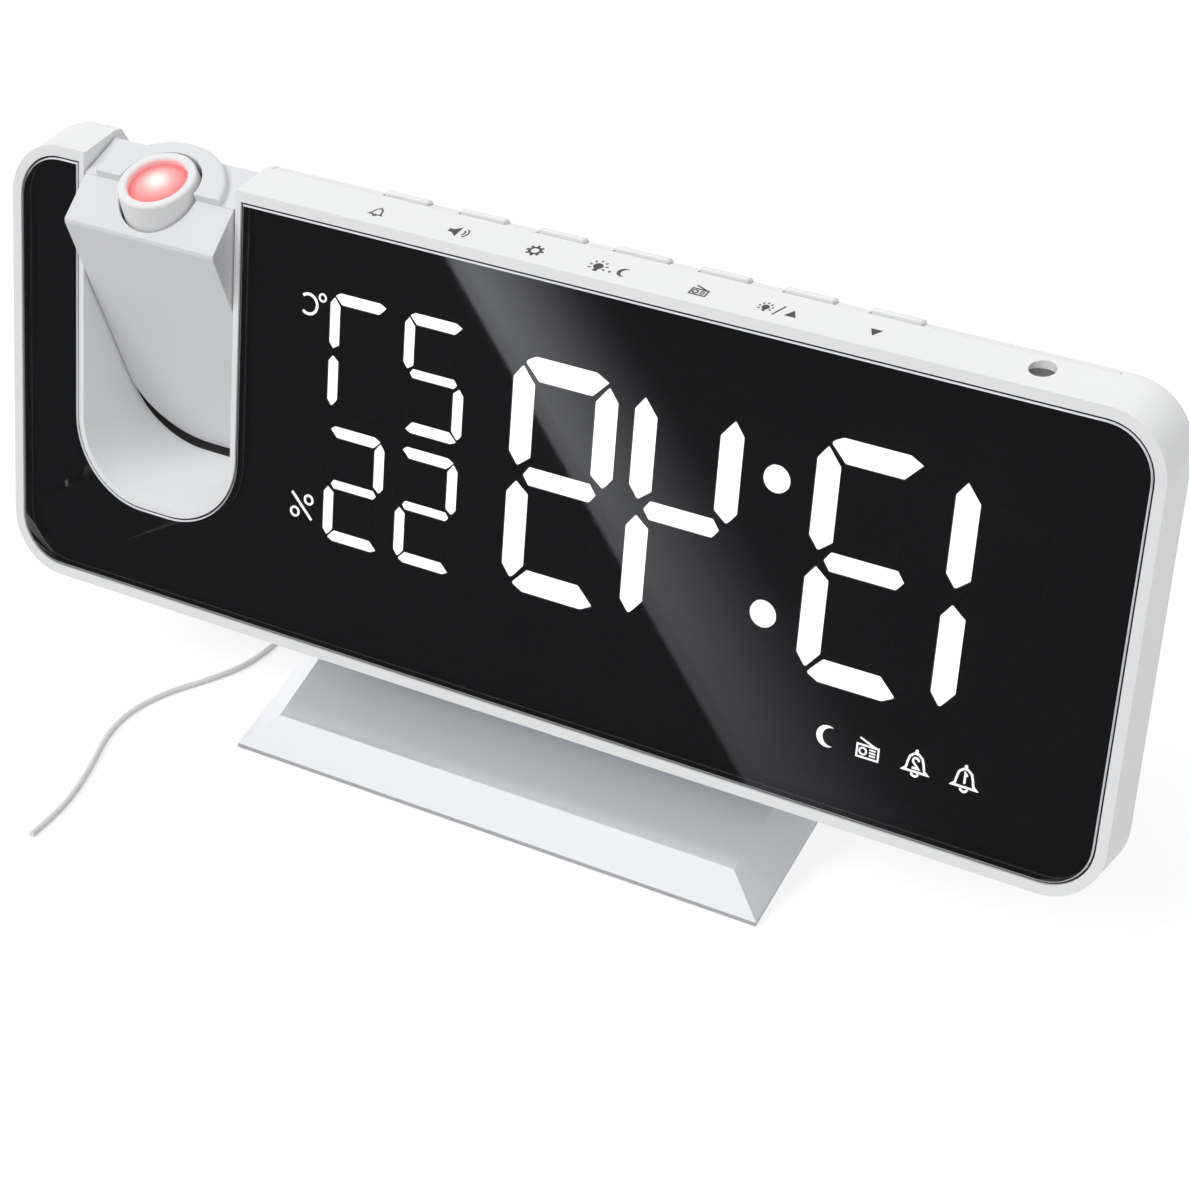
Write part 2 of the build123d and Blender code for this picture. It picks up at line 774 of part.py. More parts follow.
# ================================================================ buttons
button_names = ["alarm", "volume", "set", "snooze", "radio", "up", "down"]
cap_top = ridge_top + button_proud
guide_floor = ridge_top - button_well
stem_long = switch_lift + switch_tall - switch_floor - button_travel - stem_spare
button_places = []
buttons = []
for place, name in enumerate(button_names):
    wide = snooze_width if name == "snooze" else button_width
    button_x = button_first + place * button_pitch
    middle = button_front + button_deep / 2
    flange_top = guide_floor - 0.1
    with BuildPart() as button:
        with BuildSketch(above.offset(flange_top)):
            with Locations((button_x, middle)):
                RectangleRounded(wide, button_deep, 0.5)
        extrude(amount=cap_top - flange_top)
        fillet(button.faces().sort_by(upward)[-1].edges(), 0.3)
        with BuildSketch(above.offset(flange_top - button_flange)):
            with Locations((button_x, middle)):
                Rectangle(wide + 1.6, button_deep)
        extrude(amount=button_flange)
        with BuildSketch(above.offset(flange_top - button_flange - stem_long)):
            with Locations((button_x, middle)):
                Circle(stem_radius)
        extrude(amount=stem_long)
        if name == "snooze":
            crown = 2.6
            with BuildSketch(Plane(above.offset(cap_top - 0.2).from_local_coords(
                (button_x, middle, 0)), x_dir=(1, 0, 0), z_dir=-panel.y_dir.cross(Vector(1, 0, 0)))):
                with BuildLine():
                    ThreePointArc((-crown, 0), (0, 0.75), (crown, 0))
                    Line((crown, 0), (-crown, 0))
                make_face()
            extrude(amount=0.9, both=True)
    button.part.label = "button_" + name
    export_step(button.part, "parts/button_" + name + ".step")
    buttons.append(button.part)
    button_places.append((button_x, middle))

switch_top = guide_floor - 0.1 - button_flange - switch_lift
board_top = switch_top - switch_tall
with BuildPart() as button_switches:
    with BuildSketch(above.offset(board_top)):
        with Locations(*button_places):
            RectangleRounded(switch_wide, switch_deep, 0.3)
    extrude(amount=switch_tall)
    with BuildSketch(above.offset(board_top + switch_floor)):
        with Locations(*button_places):
            Circle(stem_radius + 0.3)
    extrude(amount=switch_tall, mode=Mode.SUBTRACT)
button_switches.part.label = "button_switches"
export_step(button_switches.part, "parts/button_switches.step")

button_board_front = board_back + 0.4
with BuildPart() as button_board:
    with BuildSketch(above.offset(board_top - board_thick)):
        with Locations((row_middle, (button_board_front + inner_back - 2.6) / 2)):
            Rectangle(row_length, inner_back - 2.6 - button_board_front)
    extrude(amount=board_thick)
button_board.part.label = "button_board"
export_step(button_board.part, "parts/button_board.step")

# ================================================================ light sensor
strip_here = front_top + strip_rise * (sensor_depth - lip_depth) / (ridge_depth - lip_depth)
with BuildPart() as sensor_window:
    with BuildSketch(above.offset(strip_here - 0.6)):
        with Locations((sensor_x, sensor_depth)):
            Circle(sensor_radius - 0.05)
    extrude(amount=-sensor_length)
    with BuildSketch(above.offset(front_top - wall - 0.1)):
        with Locations((sensor_x, sensor_depth + sensor_radius / 2 + 0.3)):
            Rectangle(2 * sensor_radius + 1.4, sensor_radius + 0.6)
    extrude(amount=-0.8)
sensor_window.part.label = "sensor_window"
export_step(sensor_window.part, "parts/sensor_window.step")

# ================================================================ main board
with BuildPart() as main_board:
    with BuildSketch(depth(main_depth + board_thick)):
        with Locations(((main_left + main_right) / 2, (main_bottom + main_top) / 2)):
            RectangleRounded(main_right - main_left, main_top - main_bottom, 1)
        with Locations(
            (main_left + 3, main_top - 3),
            (main_right - 3, main_top - 3),
            (main_right - 3, main_bottom + 3),
            (main_left + 3, main_bottom + 12),
        ):
            Circle(0.9, mode=Mode.SUBTRACT)
    extrude(amount=board_thick)
main_board.part.label = "main_board"
export_step(main_board.part, "parts/main_board.step")

main_wide = main_right - main_left
main_high = main_top - main_bottom
chips_at = [
    (0.412, 0.623, 0.265, 0.261),
    (0.735, 0.406, 0.147, 0.18),
    (0.294, 0.232, 0.094, 0.145),
    (0.735, 0.71, 0.206, 0.104),
]
with BuildPart() as board_chips:
    with BuildSketch(depth(main_depth)):
        for x, z, wide, high in chips_at:
            with Locations((main_left + x * main_wide, main_bottom + z * main_high)):
                Rectangle(wide * main_wide, high * main_high)
    extrude(amount=1.4)
board_chips.part.label = "board_chips"
export_step(board_chips.part, "parts/board_chips.step")

# ================================================================ speaker
with BuildPart() as speaker_frame:
    with BuildSketch(depth(inner_back - 0.1)):
        with Locations((speaker_x, speaker_z)):
            Circle(speaker_radius)
            Circle(speaker_radius - 2.2, mode=Mode.SUBTRACT)
    extrude(amount=0.9)
    with BuildSketch(depth(inner_back - 1.0)):
        with Locations((speaker_x, speaker_z)):
            Circle(speaker_radius - 1)
    extrude(amount=speaker_deep - magnet_deep - 0.9, taper=20)
    with BuildSketch(depth(inner_back - 1.0)):
        with Locations((speaker_x, speaker_z)):
            Circle(speaker_radius - 2.2)
    extrude(amount=speaker_deep - magnet_deep - 1.7, taper=20, mode=Mode.SUBTRACT)
    with BuildSketch(depth(inner_back - 0.1 - speaker_deep + magnet_deep)):
        with Locations((speaker_x, speaker_z)):
            Circle(magnet_radius)
    extrude(amount=magnet_deep)
speaker_frame.part.label = "speaker_frame"
export_step(speaker_frame.part, "parts/speaker_frame.step")

with BuildPart() as speaker_cone:
    with BuildSketch(depth(inner_back - 0.3)):
        with Locations((speaker_x, speaker_z)):
            Circle(speaker_radius - 2.4)
            Circle(speaker_radius - 4.2, mode=Mode.SUBTRACT)
    extrude(amount=0.6)
    with BuildSketch(depth(inner_back - 0.9)):
        with Locations((speaker_x, speaker_z)):
            Circle(speaker_radius - 4.2)
    extrude(amount=0.5)
    with BuildSketch(depth(inner_back - 0.6)):
        with Locations((speaker_x, speaker_z)):
            Circle(speaker_radius - 3.6)
    extrude(amount=0.3)
speaker_cone.part.label = "speaker_cone"
export_step(speaker_cone.part, "parts/speaker_cone.step")

# ================================================================ battery
with BuildPart() as battery_holder:
    with BuildSketch(depth(pad_face - 0.05)):
        with Locations((cell_x, cell_z)):
            Circle(cell_radius + 0.3 + holder_wall)
    extrude(amount=cell_thick + 0.1 + holder_floor)
    with BuildSketch(depth(pad_face - 0.05)):
        with Locations((cell_x, cell_z)):
            Circle(cell_radius + 0.3)
    extrude(amount=cell_thick + 0.1, mode=Mode.SUBTRACT)
battery_holder.part.label = "battery_holder"
export_step(battery_holder.part, "parts/battery_holder.step")

with BuildPart() as coin_cell:
    with BuildSketch(depth(pad_face - 0.1)):
        with Locations((cell_x, cell_z)):
            Circle(cell_radius)
    extrude(amount=cell_thick)
    chamfer(coin_cell.edges().group_by(outward)[-1], 0.5)
coin_cell.part.label = "coin_cell"
export_step(coin_cell.part, "parts/coin_cell.step")

door_low = back_low + 0.3
with BuildPart() as battery_door:
    with BuildSketch(depth(body_depth)):
        with Locations((cell_x, (door_low + door_top) / 2)):
            Rectangle(2 * door_half, door_top - door_low)
    extrude(amount=door_thick)
    with BuildSketch(depth(door_floor - 0.1 + 0.75)):
        with Locations((cell_x, (door_low + door_top) / 2)):
            Rectangle(2 * (door_half + door_tongue), door_top - door_low)
    extrude(amount=0.6)
    with BuildSketch(depth(body_depth)):
        with GridLocations(0, 1.6, 1, 5):
            with Locations((cell_x, door_top - 8)):
                Rectangle(12, 0.7)
    extrude(amount=0.4, mode=Mode.SUBTRACT)
battery_door.part.label = "battery_door"
export_step(battery_door.part, "parts/battery_door.step")

# ================================================================ sockets
with BuildPart() as power_jack:
    with BuildSketch(depth(inner_back - 0.1)):
        with Locations((jack_x, jack_z)):
            Rectangle(jack_size, jack_size)
    extrude(amount=inner_back - 0.1 - main_depth - board_thick)
    with BuildSketch(depth(body_depth - 0.2)):
        with Locations((jack_x, jack_z)):
            Circle(jack_sleeve)
    extrude(amount=body_depth - inner_back)
    with BuildSketch(depth(body_depth)):
        with Locations((jack_x, jack_z)):
            Circle(jack_bore)
            Circle(jack_pin, mode=Mode.SUBTRACT)
    extrude(amount=5, mode=Mode.SUBTRACT)
    with BuildSketch(depth(body_depth)):
        with Locations((jack_x, jack_z)):
            Circle(jack_bore)
    extrude(amount=0.9, mode=Mode.SUBTRACT)
power_jack.part.label = "power_jack"
export_step(power_jack.part, "parts/power_jack.step")

usb_back = body_depth - 0.1
usb_front = body_depth - usb_deep
with BuildPart() as usb_shell:
    with BuildSketch(depth(usb_back)):
        with Locations((usb_x, usb_z)):
            RectangleRounded(usb_width, usb_height, 0.4)
    extrude(amount=usb_back - usb_front)
    with BuildSketch(depth(usb_back)):
        with Locations((usb_x, usb_z)):
            Rectangle(usb_width - 2 * usb_wall, usb_height - 2 * usb_wall)
    extrude(amount=usb_back - usb_front - usb_wall, mode=Mode.SUBTRACT)
usb_shell.part.label = "usb_shell"
export_step(usb_shell.part, "parts/usb_shell.step")

with BuildPart() as usb_tongue:
    with BuildSketch(depth(usb_front + usb_wall + 1.6)):
        with Locations((usb_x, usb_z)):
            Rectangle(usb_width - 2 * usb_wall - 0.1, usb_height - 2 * usb_wall - 0.1)
    extrude(amount=1.55)
    with BuildSketch(depth(usb_back - 0.9)):
        with Locations((usb_x, usb_z + 0.9)):
            Rectangle(usb_tongue_width, usb_tongue_thick)
    extrude(amount=usb_back - 0.9 - usb_front - usb_wall - 1.6)
usb_tongue.part.label = "usb_tongue"
export_step(usb_tongue.part, "parts/usb_tongue.step")

with BuildPart() as antenna_gland:
    with BuildSketch(depth(body_depth)):
        with Locations((gland_x, gland_z)):
            Circle(gland_radius)
    extrude(amount=wall + 0.8)
    with BuildSketch(depth(inner_back - 0.1)):
        with Locations((gland_x, gland_z)):
            Circle(gland_radius + 0.7)
    extrude(amount=0.7)
    with BuildSketch(depth(body_depth)):
        with Locations((gland_x, gland_z)):
            Circle(gland_radius + 0.6)
    extrude(amount=-0.8)
    with BuildSketch(depth(body_depth + 0.8)):
        with Locations((gland_x, gland_z)):
            Circle(gland_radius - 0.3)
    extrude(amount=-(gland_long - 0.8), taper=18)
antenna_gland.part.label = "antenna_gland"
export_step(antenna_gland.part, "parts/antenna_gland.step")

# ================================================================ rubber lip of the slot
with BuildPart() as slot_bumper:
    with BuildSketch(depth(slot_depth)) as bumper_outer:
        low = slot_bottom + slot_slope * slot_depth - slot_wall
        with Locations((slot_x, low + bumper_top / 2)):
            Rectangle(2 * (slot_half + slot_wall), bumper_top)
        fillet(bumper_outer.vertices().group_by(Axis.Y)[0], slot_radius + slot_wall)
        with Locations((slot_x, bumper_top + 25)):
            Rectangle(4 * slot_half, 50, mode=Mode.SUBTRACT)
    extrude(amount=bumper_depth * slot_stretch, dir=slot_run)
    with BuildSketch(depth(slot_depth)) as bumper_inner:
        low = slot_bottom + slot_slope * slot_depth
        with Locations((slot_x, low + bumper_top)):
            Rectangle(2 * slot_half, 2 * bumper_top)
        fillet(bumper_inner.vertices().group_by(Axis.Y)[0], slot_radius)
    extrude(amount=bumper_depth * slot_stretch, dir=slot_run, mode=Mode.SUBTRACT)
slot_bumper.part.label = "slot_bumper"
export_step(slot_bumper.part, "parts/slot_bumper.step")

# ================================================================ projector arm
arm_back_face = arm_thick - hinge_depth
ring_y = 0.1
seam = arm.offset(hinge_depth - arm_ridge)
flange_high = arm_ceiling - ring_gap
with BuildPart() as arm_body:
    with BuildSketch(arm_side):
        with BuildLine():
            Polyline(
                (-hinge_depth, -arm_tail),
                (-hinge_depth, arm_brow - arm_bevel),
                (-hinge_depth + arm_bevel / 2, arm_brow + 0.05),
                (-hinge_depth + arm_ridge, arm_top),
                (arm_back_face, arm_top),
                (arm_back_face, -arm_tail),
                close=True,
            )
        make_face()
    extrude(amount=arm_half, both=True)
    with BuildSketch(arm) as arm_arch:
        with Locations((0, (arm_top + 5 - arm_tail) / 2)):
            Rectangle(2 * arm_half, arm_top + 5 + arm_tail)
        fillet(arm_arch.vertices().group_by(Axis.Y)[0], arm_radius)
    extrude(amount=arm_thick, both=True, mode=Mode.INTERSECT)
    # round collar behind the ridge
    with BuildSketch(arm_above.offset(collar_foot)):
        with Locations((0, -collar_centre)):
            Circle(collar_radius)
        with Locations((0, -hinge_depth + arm_ridge - 25)):
            Rectangle(60, 50, mode=Mode.SUBTRACT)
    extrude(amount=arm_top + collar_rise - collar_foot)
    collar_edges = arm_body.edges().filter_by(GeomType.CIRCLE).group_by(arm_upward)
    fillet(collar_edges[-1], 0.6)
    # hollow
    with BuildSketch(arm) as arm_hollow:
        with Locations((0, (arm_ceiling - arm_tail + arm_wall) / 2)):
            Rectangle(2 * (arm_half - arm_wall), arm_ceiling + arm_tail - arm_wall)
        fillet(arm_hollow.vertices().group_by(Axis.Y)[0], arm_radius - arm_wall)
    extrude(amount=hinge_depth - arm_wall, both=True, mode=Mode.SUBTRACT)
    # bosses for the two screws of the arm
    with BuildSketch(arm.offset(-(hinge_depth - arm_wall))):
        with Locations(*arm_screws_at):
            Circle(boss_radius)
    extrude(amount=2 * (hinge_depth - arm_wall))
    with BuildSketch(arm.offset(-arm_back_face)):
        with Locations(*arm_screws_at):
            Circle(screw_radius + screw_bite)
    extrude(amount=arm_thick - arm_wall, mode=Mode.SUBTRACT)
    with BuildSketch(arm.offset(-arm_back_face)):
        with Locations(*arm_screws_at):
            Circle(screw_head_radius + fit_gap)
    extrude(amount=screw_head + 0.3, mode=Mode.SUBTRACT)
    # well of the focus ring and its neck
    with BuildSketch(arm_above.offset(ring_seat - ring_gap)):
        with Locations((0, ring_y)):
            Circle(ring_base_radius + ring_gap)
    extrude(amount=10, mode=Mode.SUBTRACT)
    with BuildSketch(arm_above.offset(arm_ceiling - 0.5)):
        with Locations((0, ring_y)):
            Circle(ring_neck + ring_gap)
    extrude(amount=5, mode=Mode.SUBTRACT)
    # bores of the hinge pins
    with BuildSketch(arm_side):
        Circle(pin_radius + screw_bite)
    extrude(amount=arm_half + 1, both=True, mode=Mode.SUBTRACT)

with BuildPart() as arm_front:
    add(arm_body.part)
    split(bisect_by=seam, keep=Keep.TOP)
arm_front.part.label = "arm_front"
export_step(arm_front.part, "parts/arm_front.step")

with BuildPart() as arm_back:
    add(arm_body.part)
    split(bisect_by=seam, keep=Keep.BOTTOM)
arm_back.part.label = "arm_back"
export_step(arm_back.part, "parts/arm_back.step")

# ================================================================ hinge pieces
bearing_face = slot_half + slot_wall
washer_in = bearing_face + pin_gap
clip_in = washer_in + washer_thick + pin_gap
pin_end = clip_in + clip_thick + 0.4
head_in = arm_half - arm_wall - 0.1
with BuildPart() as arm_pins:
    for way in (-1, 1):
        with BuildSketch(arm_side.offset(way * (head_in - pin_head))):
            Circle(pin_head_radius)
        extrude(amount=way * pin_head)
        with BuildSketch(arm_side.offset(way * (head_in - pin_head))):
            Circle(pin_radius)
        extrude(amount=way * (pin_end - head_in + pin_head))
arm_pins.part.label = "arm_pins"
export_step(arm_pins.part, "parts/arm_pins.step")

with BuildPart() as arm_washers:
    for way in (-1, 1):
        with BuildSketch(arm_side.offset(way * washer_in)):
            Circle(washer_radius)
            Circle(pin_radius + pin_gap, mode=Mode.SUBTRACT)
        extrude(amount=way * washer_thick)
arm_washers.part.label = "arm_washers"
export_step(arm_washers.part, "parts/arm_washers.step")

with BuildPart() as arm_clips:
    for way in (-1, 1):
        with BuildSketch(arm_side.offset(way * clip_in)):
            Circle(clip_radius)
            Circle(pin_radius + screw_bite, mode=Mode.SUBTRACT)
            with Locations((0, -clip_radius / 2 - 0.5)):
                Rectangle(2.2, clip_radius + 1, mode=Mode.SUBTRACT)
        extrude(amount=way * clip_thick)
arm_clips.part.label = "arm_clips"
export_step(arm_clips.part, "parts/arm_clips.step")

with BuildPart() as arm_screws:
    with BuildSketch(arm.offset(-arm_back_face + screw_head + 0.3)):
        with Locations(*arm_screws_at):
            Circle(screw_head_radius)
    extrude(amount=-screw_head)
    with BuildSketch(arm.offset(-arm_back_face + screw_head + 0.3)):
        with Locations(*arm_screws_at):
            Circle(screw_radius)
    extrude(amount=arm_thick - arm_wall - screw_head - 1.2)
arm_screws.part.label = "arm_screws"
export_step(arm_screws.part, "parts/arm_screws.step")

# ================================================================ projector optics
optic_side = Plane(
    origin=arm.from_local_coords((0, 0, -ring_y)), x_dir=-arm.z_dir, z_dir=(1, 0, 0)
)
optic_axis = Axis(optic_side.origin, arm.y_dir)
lens_shoulder = lens_radius - 0.6
with BuildPart() as focus_ring:
    with BuildSketch(optic_side):
        with BuildLine():
            Polyline(
                (lens_shoulder, flange_high - ring_flange_thick),
                (ring_flange, flange_high - ring_flange_thick),
                (ring_flange, flange_high),
                (ring_neck, flange_high),
                (ring_neck, ring_seat),
                (ring_base_radius, ring_seat),
                (ring_rim_radius, ring_top - 0.5),
                (ring_rim_radius - 0.15, ring_top - 0.15),
                (ring_rim_radius - 0.5, ring_top),
                (ring_bore + 0.35, ring_top),
                (ring_bore, ring_top - 0.35),
                (ring_bore, lens_seat),
                (lens_shoulder, lens_seat),
                close=True,
            )
        make_face()
    revolve(axis=optic_axis)
focus_ring.part.label = "focus_ring"
export_step(focus_ring.part, "parts/focus_ring.step")

lens_ball = (lens_radius**2 + lens_dome**2) / (2 * lens_dome)
dome_sink = lens_ball - math.sqrt(lens_ball**2 - (lens_radius / 2) ** 2)
with BuildPart() as lens:
    with BuildSketch(optic_side):
        with BuildLine():
            Polyline(
                (0, lens_seat + lens_edge + lens_dome),
                (0, lens_seat),
                (lens_radius, lens_seat),
                (lens_radius, lens_seat + lens_edge),
            )
            ThreePointArc(
                (lens_radius, lens_seat + lens_edge),
                (lens_radius / 2, lens_seat + lens_edge + lens_dome - dome_sink),
                (0, lens_seat + lens_edge + lens_dome),
            )
        make_face()
    revolve(axis=optic_axis)
lens.part.label = "lens"
export_step(lens.part, "parts/lens.step")

tube_top = flange_high - ring_flange_thick - ring_gap
tube_foot = tube_top - tube_length
with BuildPart() as projector_tube:
    with BuildSketch(arm_above.offset(tube_foot)):
        with Locations((0, ring_y)):
            Circle(tube_radius)
            Circle(tube_radius - tube_wall, mode=Mode.SUBTRACT)
    extrude(amount=tube_length)
projector_tube.part.label = "projector_tube"
export_step(projector_tube.part, "parts/projector_tube.step")

with BuildPart() as projector_slide:
    with BuildSketch(arm_above.offset(tube_foot + 9)):
        with Locations((0, ring_y)):
            Rectangle(slide_size, slide_size)
    extrude(amount=slide_thick)
projector_slide.part.label = "projector_slide"
export_step(projector_slide.part, "parts/projector_slide.step")

with BuildPart() as projector_board:
    with BuildSketch(arm_above.offset(tube_foot - 0.1)):
        with Locations((0, ring_y / 2)):
            RectangleRounded(2 * (arm_half - arm_wall - 3.4), 2 * (hinge_depth - arm_wall - 0.3), 1)
    extrude(amount=-lamp_board_thick)
projector_board.part.label = "projector_board"
export_step(projector_board.part, "parts/projector_board.step")

with BuildPart() as projector_led:
    with BuildSketch(arm_above.offset(tube_foot - 0.1)):
        with Locations((0, ring_y)):
            Circle(2.5)
    extrude(amount=3.2)
    fillet(projector_led.edges().group_by(arm_upward)[-1], 2.2)
projector_led.part.label = "projector_led"
export_step(projector_led.part, "parts/projector_led.step")

# ================================================================ case screws
well_floor = body_depth - screw_head - 2.2
with BuildPart() as case_screws:
    with BuildSketch(depth(well_floor)):
        with Locations(*case_screws_at):
            Circle(screw_head_radius)
    extrude(amount=-screw_head)
    with BuildSketch(depth(well_floor)):
        with Locations(*case_screws_at):
            Circle(screw_radius)
    extrude(amount=well_floor - pocket - ledge_thick - 0.5)
case_screws.part.label = "case_screws"
export_step(case_screws.part, "parts/case_screws.step")

# ================================================================ foot
foot_start = -foot_depth / 2
foot_end = foot_depth / 2


def foot_plan(rise, inset):
    """Plan of the foot at a height above its lip, drawn in by a margin."""
    back = rise * foot_face / (foot_height - foot_lip) + inset
    near = foot_width / 2 - back * foot_narrow - rise * foot_side - inset
    far = foot_width / 2 - (foot_depth - back) * foot_narrow - rise * foot_side - inset
    Polygon(
        (-near, foot_start + back),
        (near, foot_start + back),
        (far, foot_end - back),
        (-far, foot_end - back),
        align=None,
    )


def under_body(behind):
    """Point of the body's tapering underside, from the glass and above the floor."""
    height = body_low + back_inset * (behind - straight_depth) / taper
    point = to_world(0, height, behind)
    return (point.Y - glass_y, point.Z - 0.1)


foot_ceiling = foot_height - foot_wall
cavity_rise = foot_ceiling - foot_lip
cavity_inset = foot_wall + 0.4
posts_at = [
    (-0.37041 * foot_width, foot_start + post_in),
    (0.37041 * foot_width, foot_start + post_in),
    (-0.33261 * foot_width, foot_end - post_in),
    (0.33261 * foot_width, foot_end - post_in),
]
pads_at = [
    (-0.26242 * foot_width, foot_start + 1.43 * post_in),
    (0.26242 * foot_width, foot_start + 1.43 * post_in),
    (-0.24082 * foot_width, foot_end - 1.43 * post_in),
    (0.24082 * foot_width, foot_end - 1.43 * post_in),
]
neck_screws_at = [
    (-neck_screw_x, glass_y + neck_screw_y),
    (neck_screw_x, glass_y + neck_screw_y),
]
neck_side = Plane(origin=(0, glass_y, 0), x_dir=(0, 1, 0), z_dir=(1, 0, 0))
with BuildPart() as foot_shell:
    with BuildSketch(Plane.XY.offset(foot_lift)):
        foot_plan(0, 0)
    extrude(amount=foot_lip - foot_lift)
    with BuildSketch(Plane.XY.offset(foot_lip)):
        foot_plan(0, 0)
    with BuildSketch(Plane.XY.offset(foot_height)):
        foot_plan(foot_height - foot_lip, 0)
    loft(ruled=True)
    top_edges = foot_shell.faces().sort_by(Axis.Z)[-1].edges()
    fillet(top_edges, foot_round)
    with BuildSketch(neck_side):
        with BuildLine():
            near_top = under_body(neck_top_front)
            far_top = under_body(neck_top_back)
            Line(near_top, far_top)
            ThreePointArc(
                far_top,
                (far_top[0] + 2.6, (far_top[1] + foot_height) / 2 - 0.5),
                (neck_back, foot_height - 0.4),
            )
            Line((neck_back, foot_height - 0.4), (neck_front, foot_height - 0.4))
            ThreePointArc(
                (neck_front, foot_height - 0.4),
                (neck_front - 1.2, (near_top[1] + foot_height) / 2),
                near_top,
            )
        make_face()
    extrude(amount=neck_half, both=True)
    with BuildSketch(Plane.XY.offset(foot_lift)):
        foot_plan(cavity_rise, cavity_inset)
    extrude(amount=foot_ceiling - foot_lift, mode=Mode.SUBTRACT)
    with BuildSketch(Plane.XY.offset(foot_ceiling + 0.2)):
        with Locations(*posts_at):
            Circle(post_radius)
    extrude(amount=-(foot_ceiling + 0.2 - foot_lift - 0.2 - plate_thick))
    with BuildSketch(Plane.XY.offset(foot_lift)):
        with Locations(*posts_at):
            Circle(screw_radius + screw_bite)
    extrude(amount=foot_ceiling - foot_lift - 0.2, mode=Mode.SUBTRACT)
    with BuildSketch(Plane.XY.offset(foot_lift)):
        with Locations(*neck_screws_at):
            Circle(neck_screw_radius + 0.05)
    extrude(amount=glass_lift, mode=Mode.SUBTRACT)
foot_shell.part.label = "foot_shell"
export_step(foot_shell.part, "parts/foot_shell.step")

plate_floor = foot_lift + 0.1
with BuildPart() as foot_plate:
    with BuildSketch(Plane.XY.offset(plate_floor)):
        foot_plan(cavity_rise, cavity_inset + fit_gap)
    extrude(amount=plate_thick)
    with BuildSketch(Plane.XY.offset(plate_floor)):
        with Locations(*pads_at):
            Circle(pad_radius + 0.05)
    extrude(amount=pad_sunk, mode=Mode.SUBTRACT)
    with BuildSketch(Plane.XY.offset(plate_floor)):
        with Locations(*posts_at):
            Circle(screw_radius + 0.1)
    extrude(amount=plate_thick, mode=Mode.SUBTRACT)
    with BuildSketch(Plane.XY.offset(plate_floor)):
        with Locations(*posts_at):
            Circle(screw_head_radius + fit_gap)
    extrude(amount=plate_thick * 0.6, mode=Mode.SUBTRACT)
foot_plate.part.label = "foot_plate"
export_step(foot_plate.part, "parts/foot_plate.step")

with BuildPart() as foot_weight:
    with BuildSketch(Plane.XY.offset(plate_floor + plate_thick + 0.1)):
        foot_plan(cavity_rise, cavity_inset + 0.5)
        with Locations(*posts_at):
            Circle(post_radius + 0.5, mode=Mode.SUBTRACT)
        with Locations(*neck_screws_at):
            Circle(2 * neck_screw_radius + 0.4, mode=Mode.SUBTRACT)
    extrude(amount=weight_thick)
foot_weight.part.label = "foot_weight"
export_step(foot_weight.part, "parts/foot_weight.step")

with BuildPart() as foot_pads:
    with BuildSketch(Plane.XY):
        with Locations(*pads_at):
            Circle(pad_radius)
    extrude(amount=plate_floor + pad_sunk)
foot_pads.part.label = "foot_pads"
export_step(foot_pads.part, "parts/foot_pads.step")

with BuildPart() as foot_screws:
    with BuildSketch(Plane.XY.offset(plate_floor + 0.1)):
        with Locations(*posts_at):
            Circle(screw_head_radius)
    extrude(amount=plate_thick * 0.6 - 0.1)
    with BuildSketch(Plane.XY.offset(plate_floor + plate_thick * 0.6)):
        with Locations(*posts_at):
            Circle(screw_radius)
    extrude(amount=foot_ceiling - plate_floor - plate_thick * 0.6 - 0.6)
foot_screws.part.label = "foot_screws"
export_step(foot_screws.part, "parts/foot_screws.step")

with BuildPart() as neck_screws:
    with BuildSketch(Plane.XY.offset(foot_ceiling)):
        with Locations(*neck_screws_at):
            Circle(2 * neck_screw_radius)
    extrude(amount=-1.6)
    with BuildSketch(Plane.XY.offset(foot_ceiling)):
        with Locations(*neck_screws_at):
            Circle(neck_screw_radius)
    extrude(amount=glass_lift + neck_boss_top - 0.6 - foot_ceiling)
neck_screws.part.label = "neck_screws"
export_step(neck_screws.part, "parts/neck_screws.step")

# ================================================================ antenna wire
wire_start = to_world(gland_x, gland_z, body_depth + gland_long)
wire_points = [
    (wire_start.X, wire_start.Y, wire_start.Z),
    (gland_x, 13.6, 22.7),
    (gland_x + 1.2, 20.6, 17.8),
    (gland_x + 3, 25.6, 9.6),
    (gland_x + 3.6, 31.4, 2.9),
    (gland_x + 2, 39.2, 0.52),
    (gland_x - 4.4, 44.4, 0.52),
    (gland_x - 12, 43.2, 0.52),
    (gland_x - 15.6, 36.2, 0.52),
    (gland_x - 14, 27.8, 0.52),
    (gland_x - 9.4, 20.4, 0.52),
    (gland_x - 6.6, 12.4, 0.52),
    (gland_x - 5.9, 4.4, 0.52),
    (gland_x - 6.3, -2.6, 0.52),
    (gland_x - 9.2, -9.4, 0.52),
    (gland_x - 12.6, -15.4, 0.52),
    (gland_x - 14.4, -22.8, 0.52),
    (gland_x - 13.4, -30.2, 0.52),
    (gland_x - 10.5, -37.2, 0.52),
    (gland_x - 8, -44.2, 0.52),
    (gland_x - 6.4, -51.4, 0.52),
    (gland_x - 6.2, -57.6, 0.52),
]
wire_bends = []
corners = [Vector(*point) for point in wire_points]
for before, here, after in zip(corners, corners[1:], corners[2:]):
    turn = (here - before).get_angle(after - here)
    shorter = min((here - before).length, (after - here).length)
    wire_bends.append(0.45 * shorter / math.tan(math.radians(turn / 2)))
print("wire bend radii", [round(bend, 1) for bend in wire_bends])
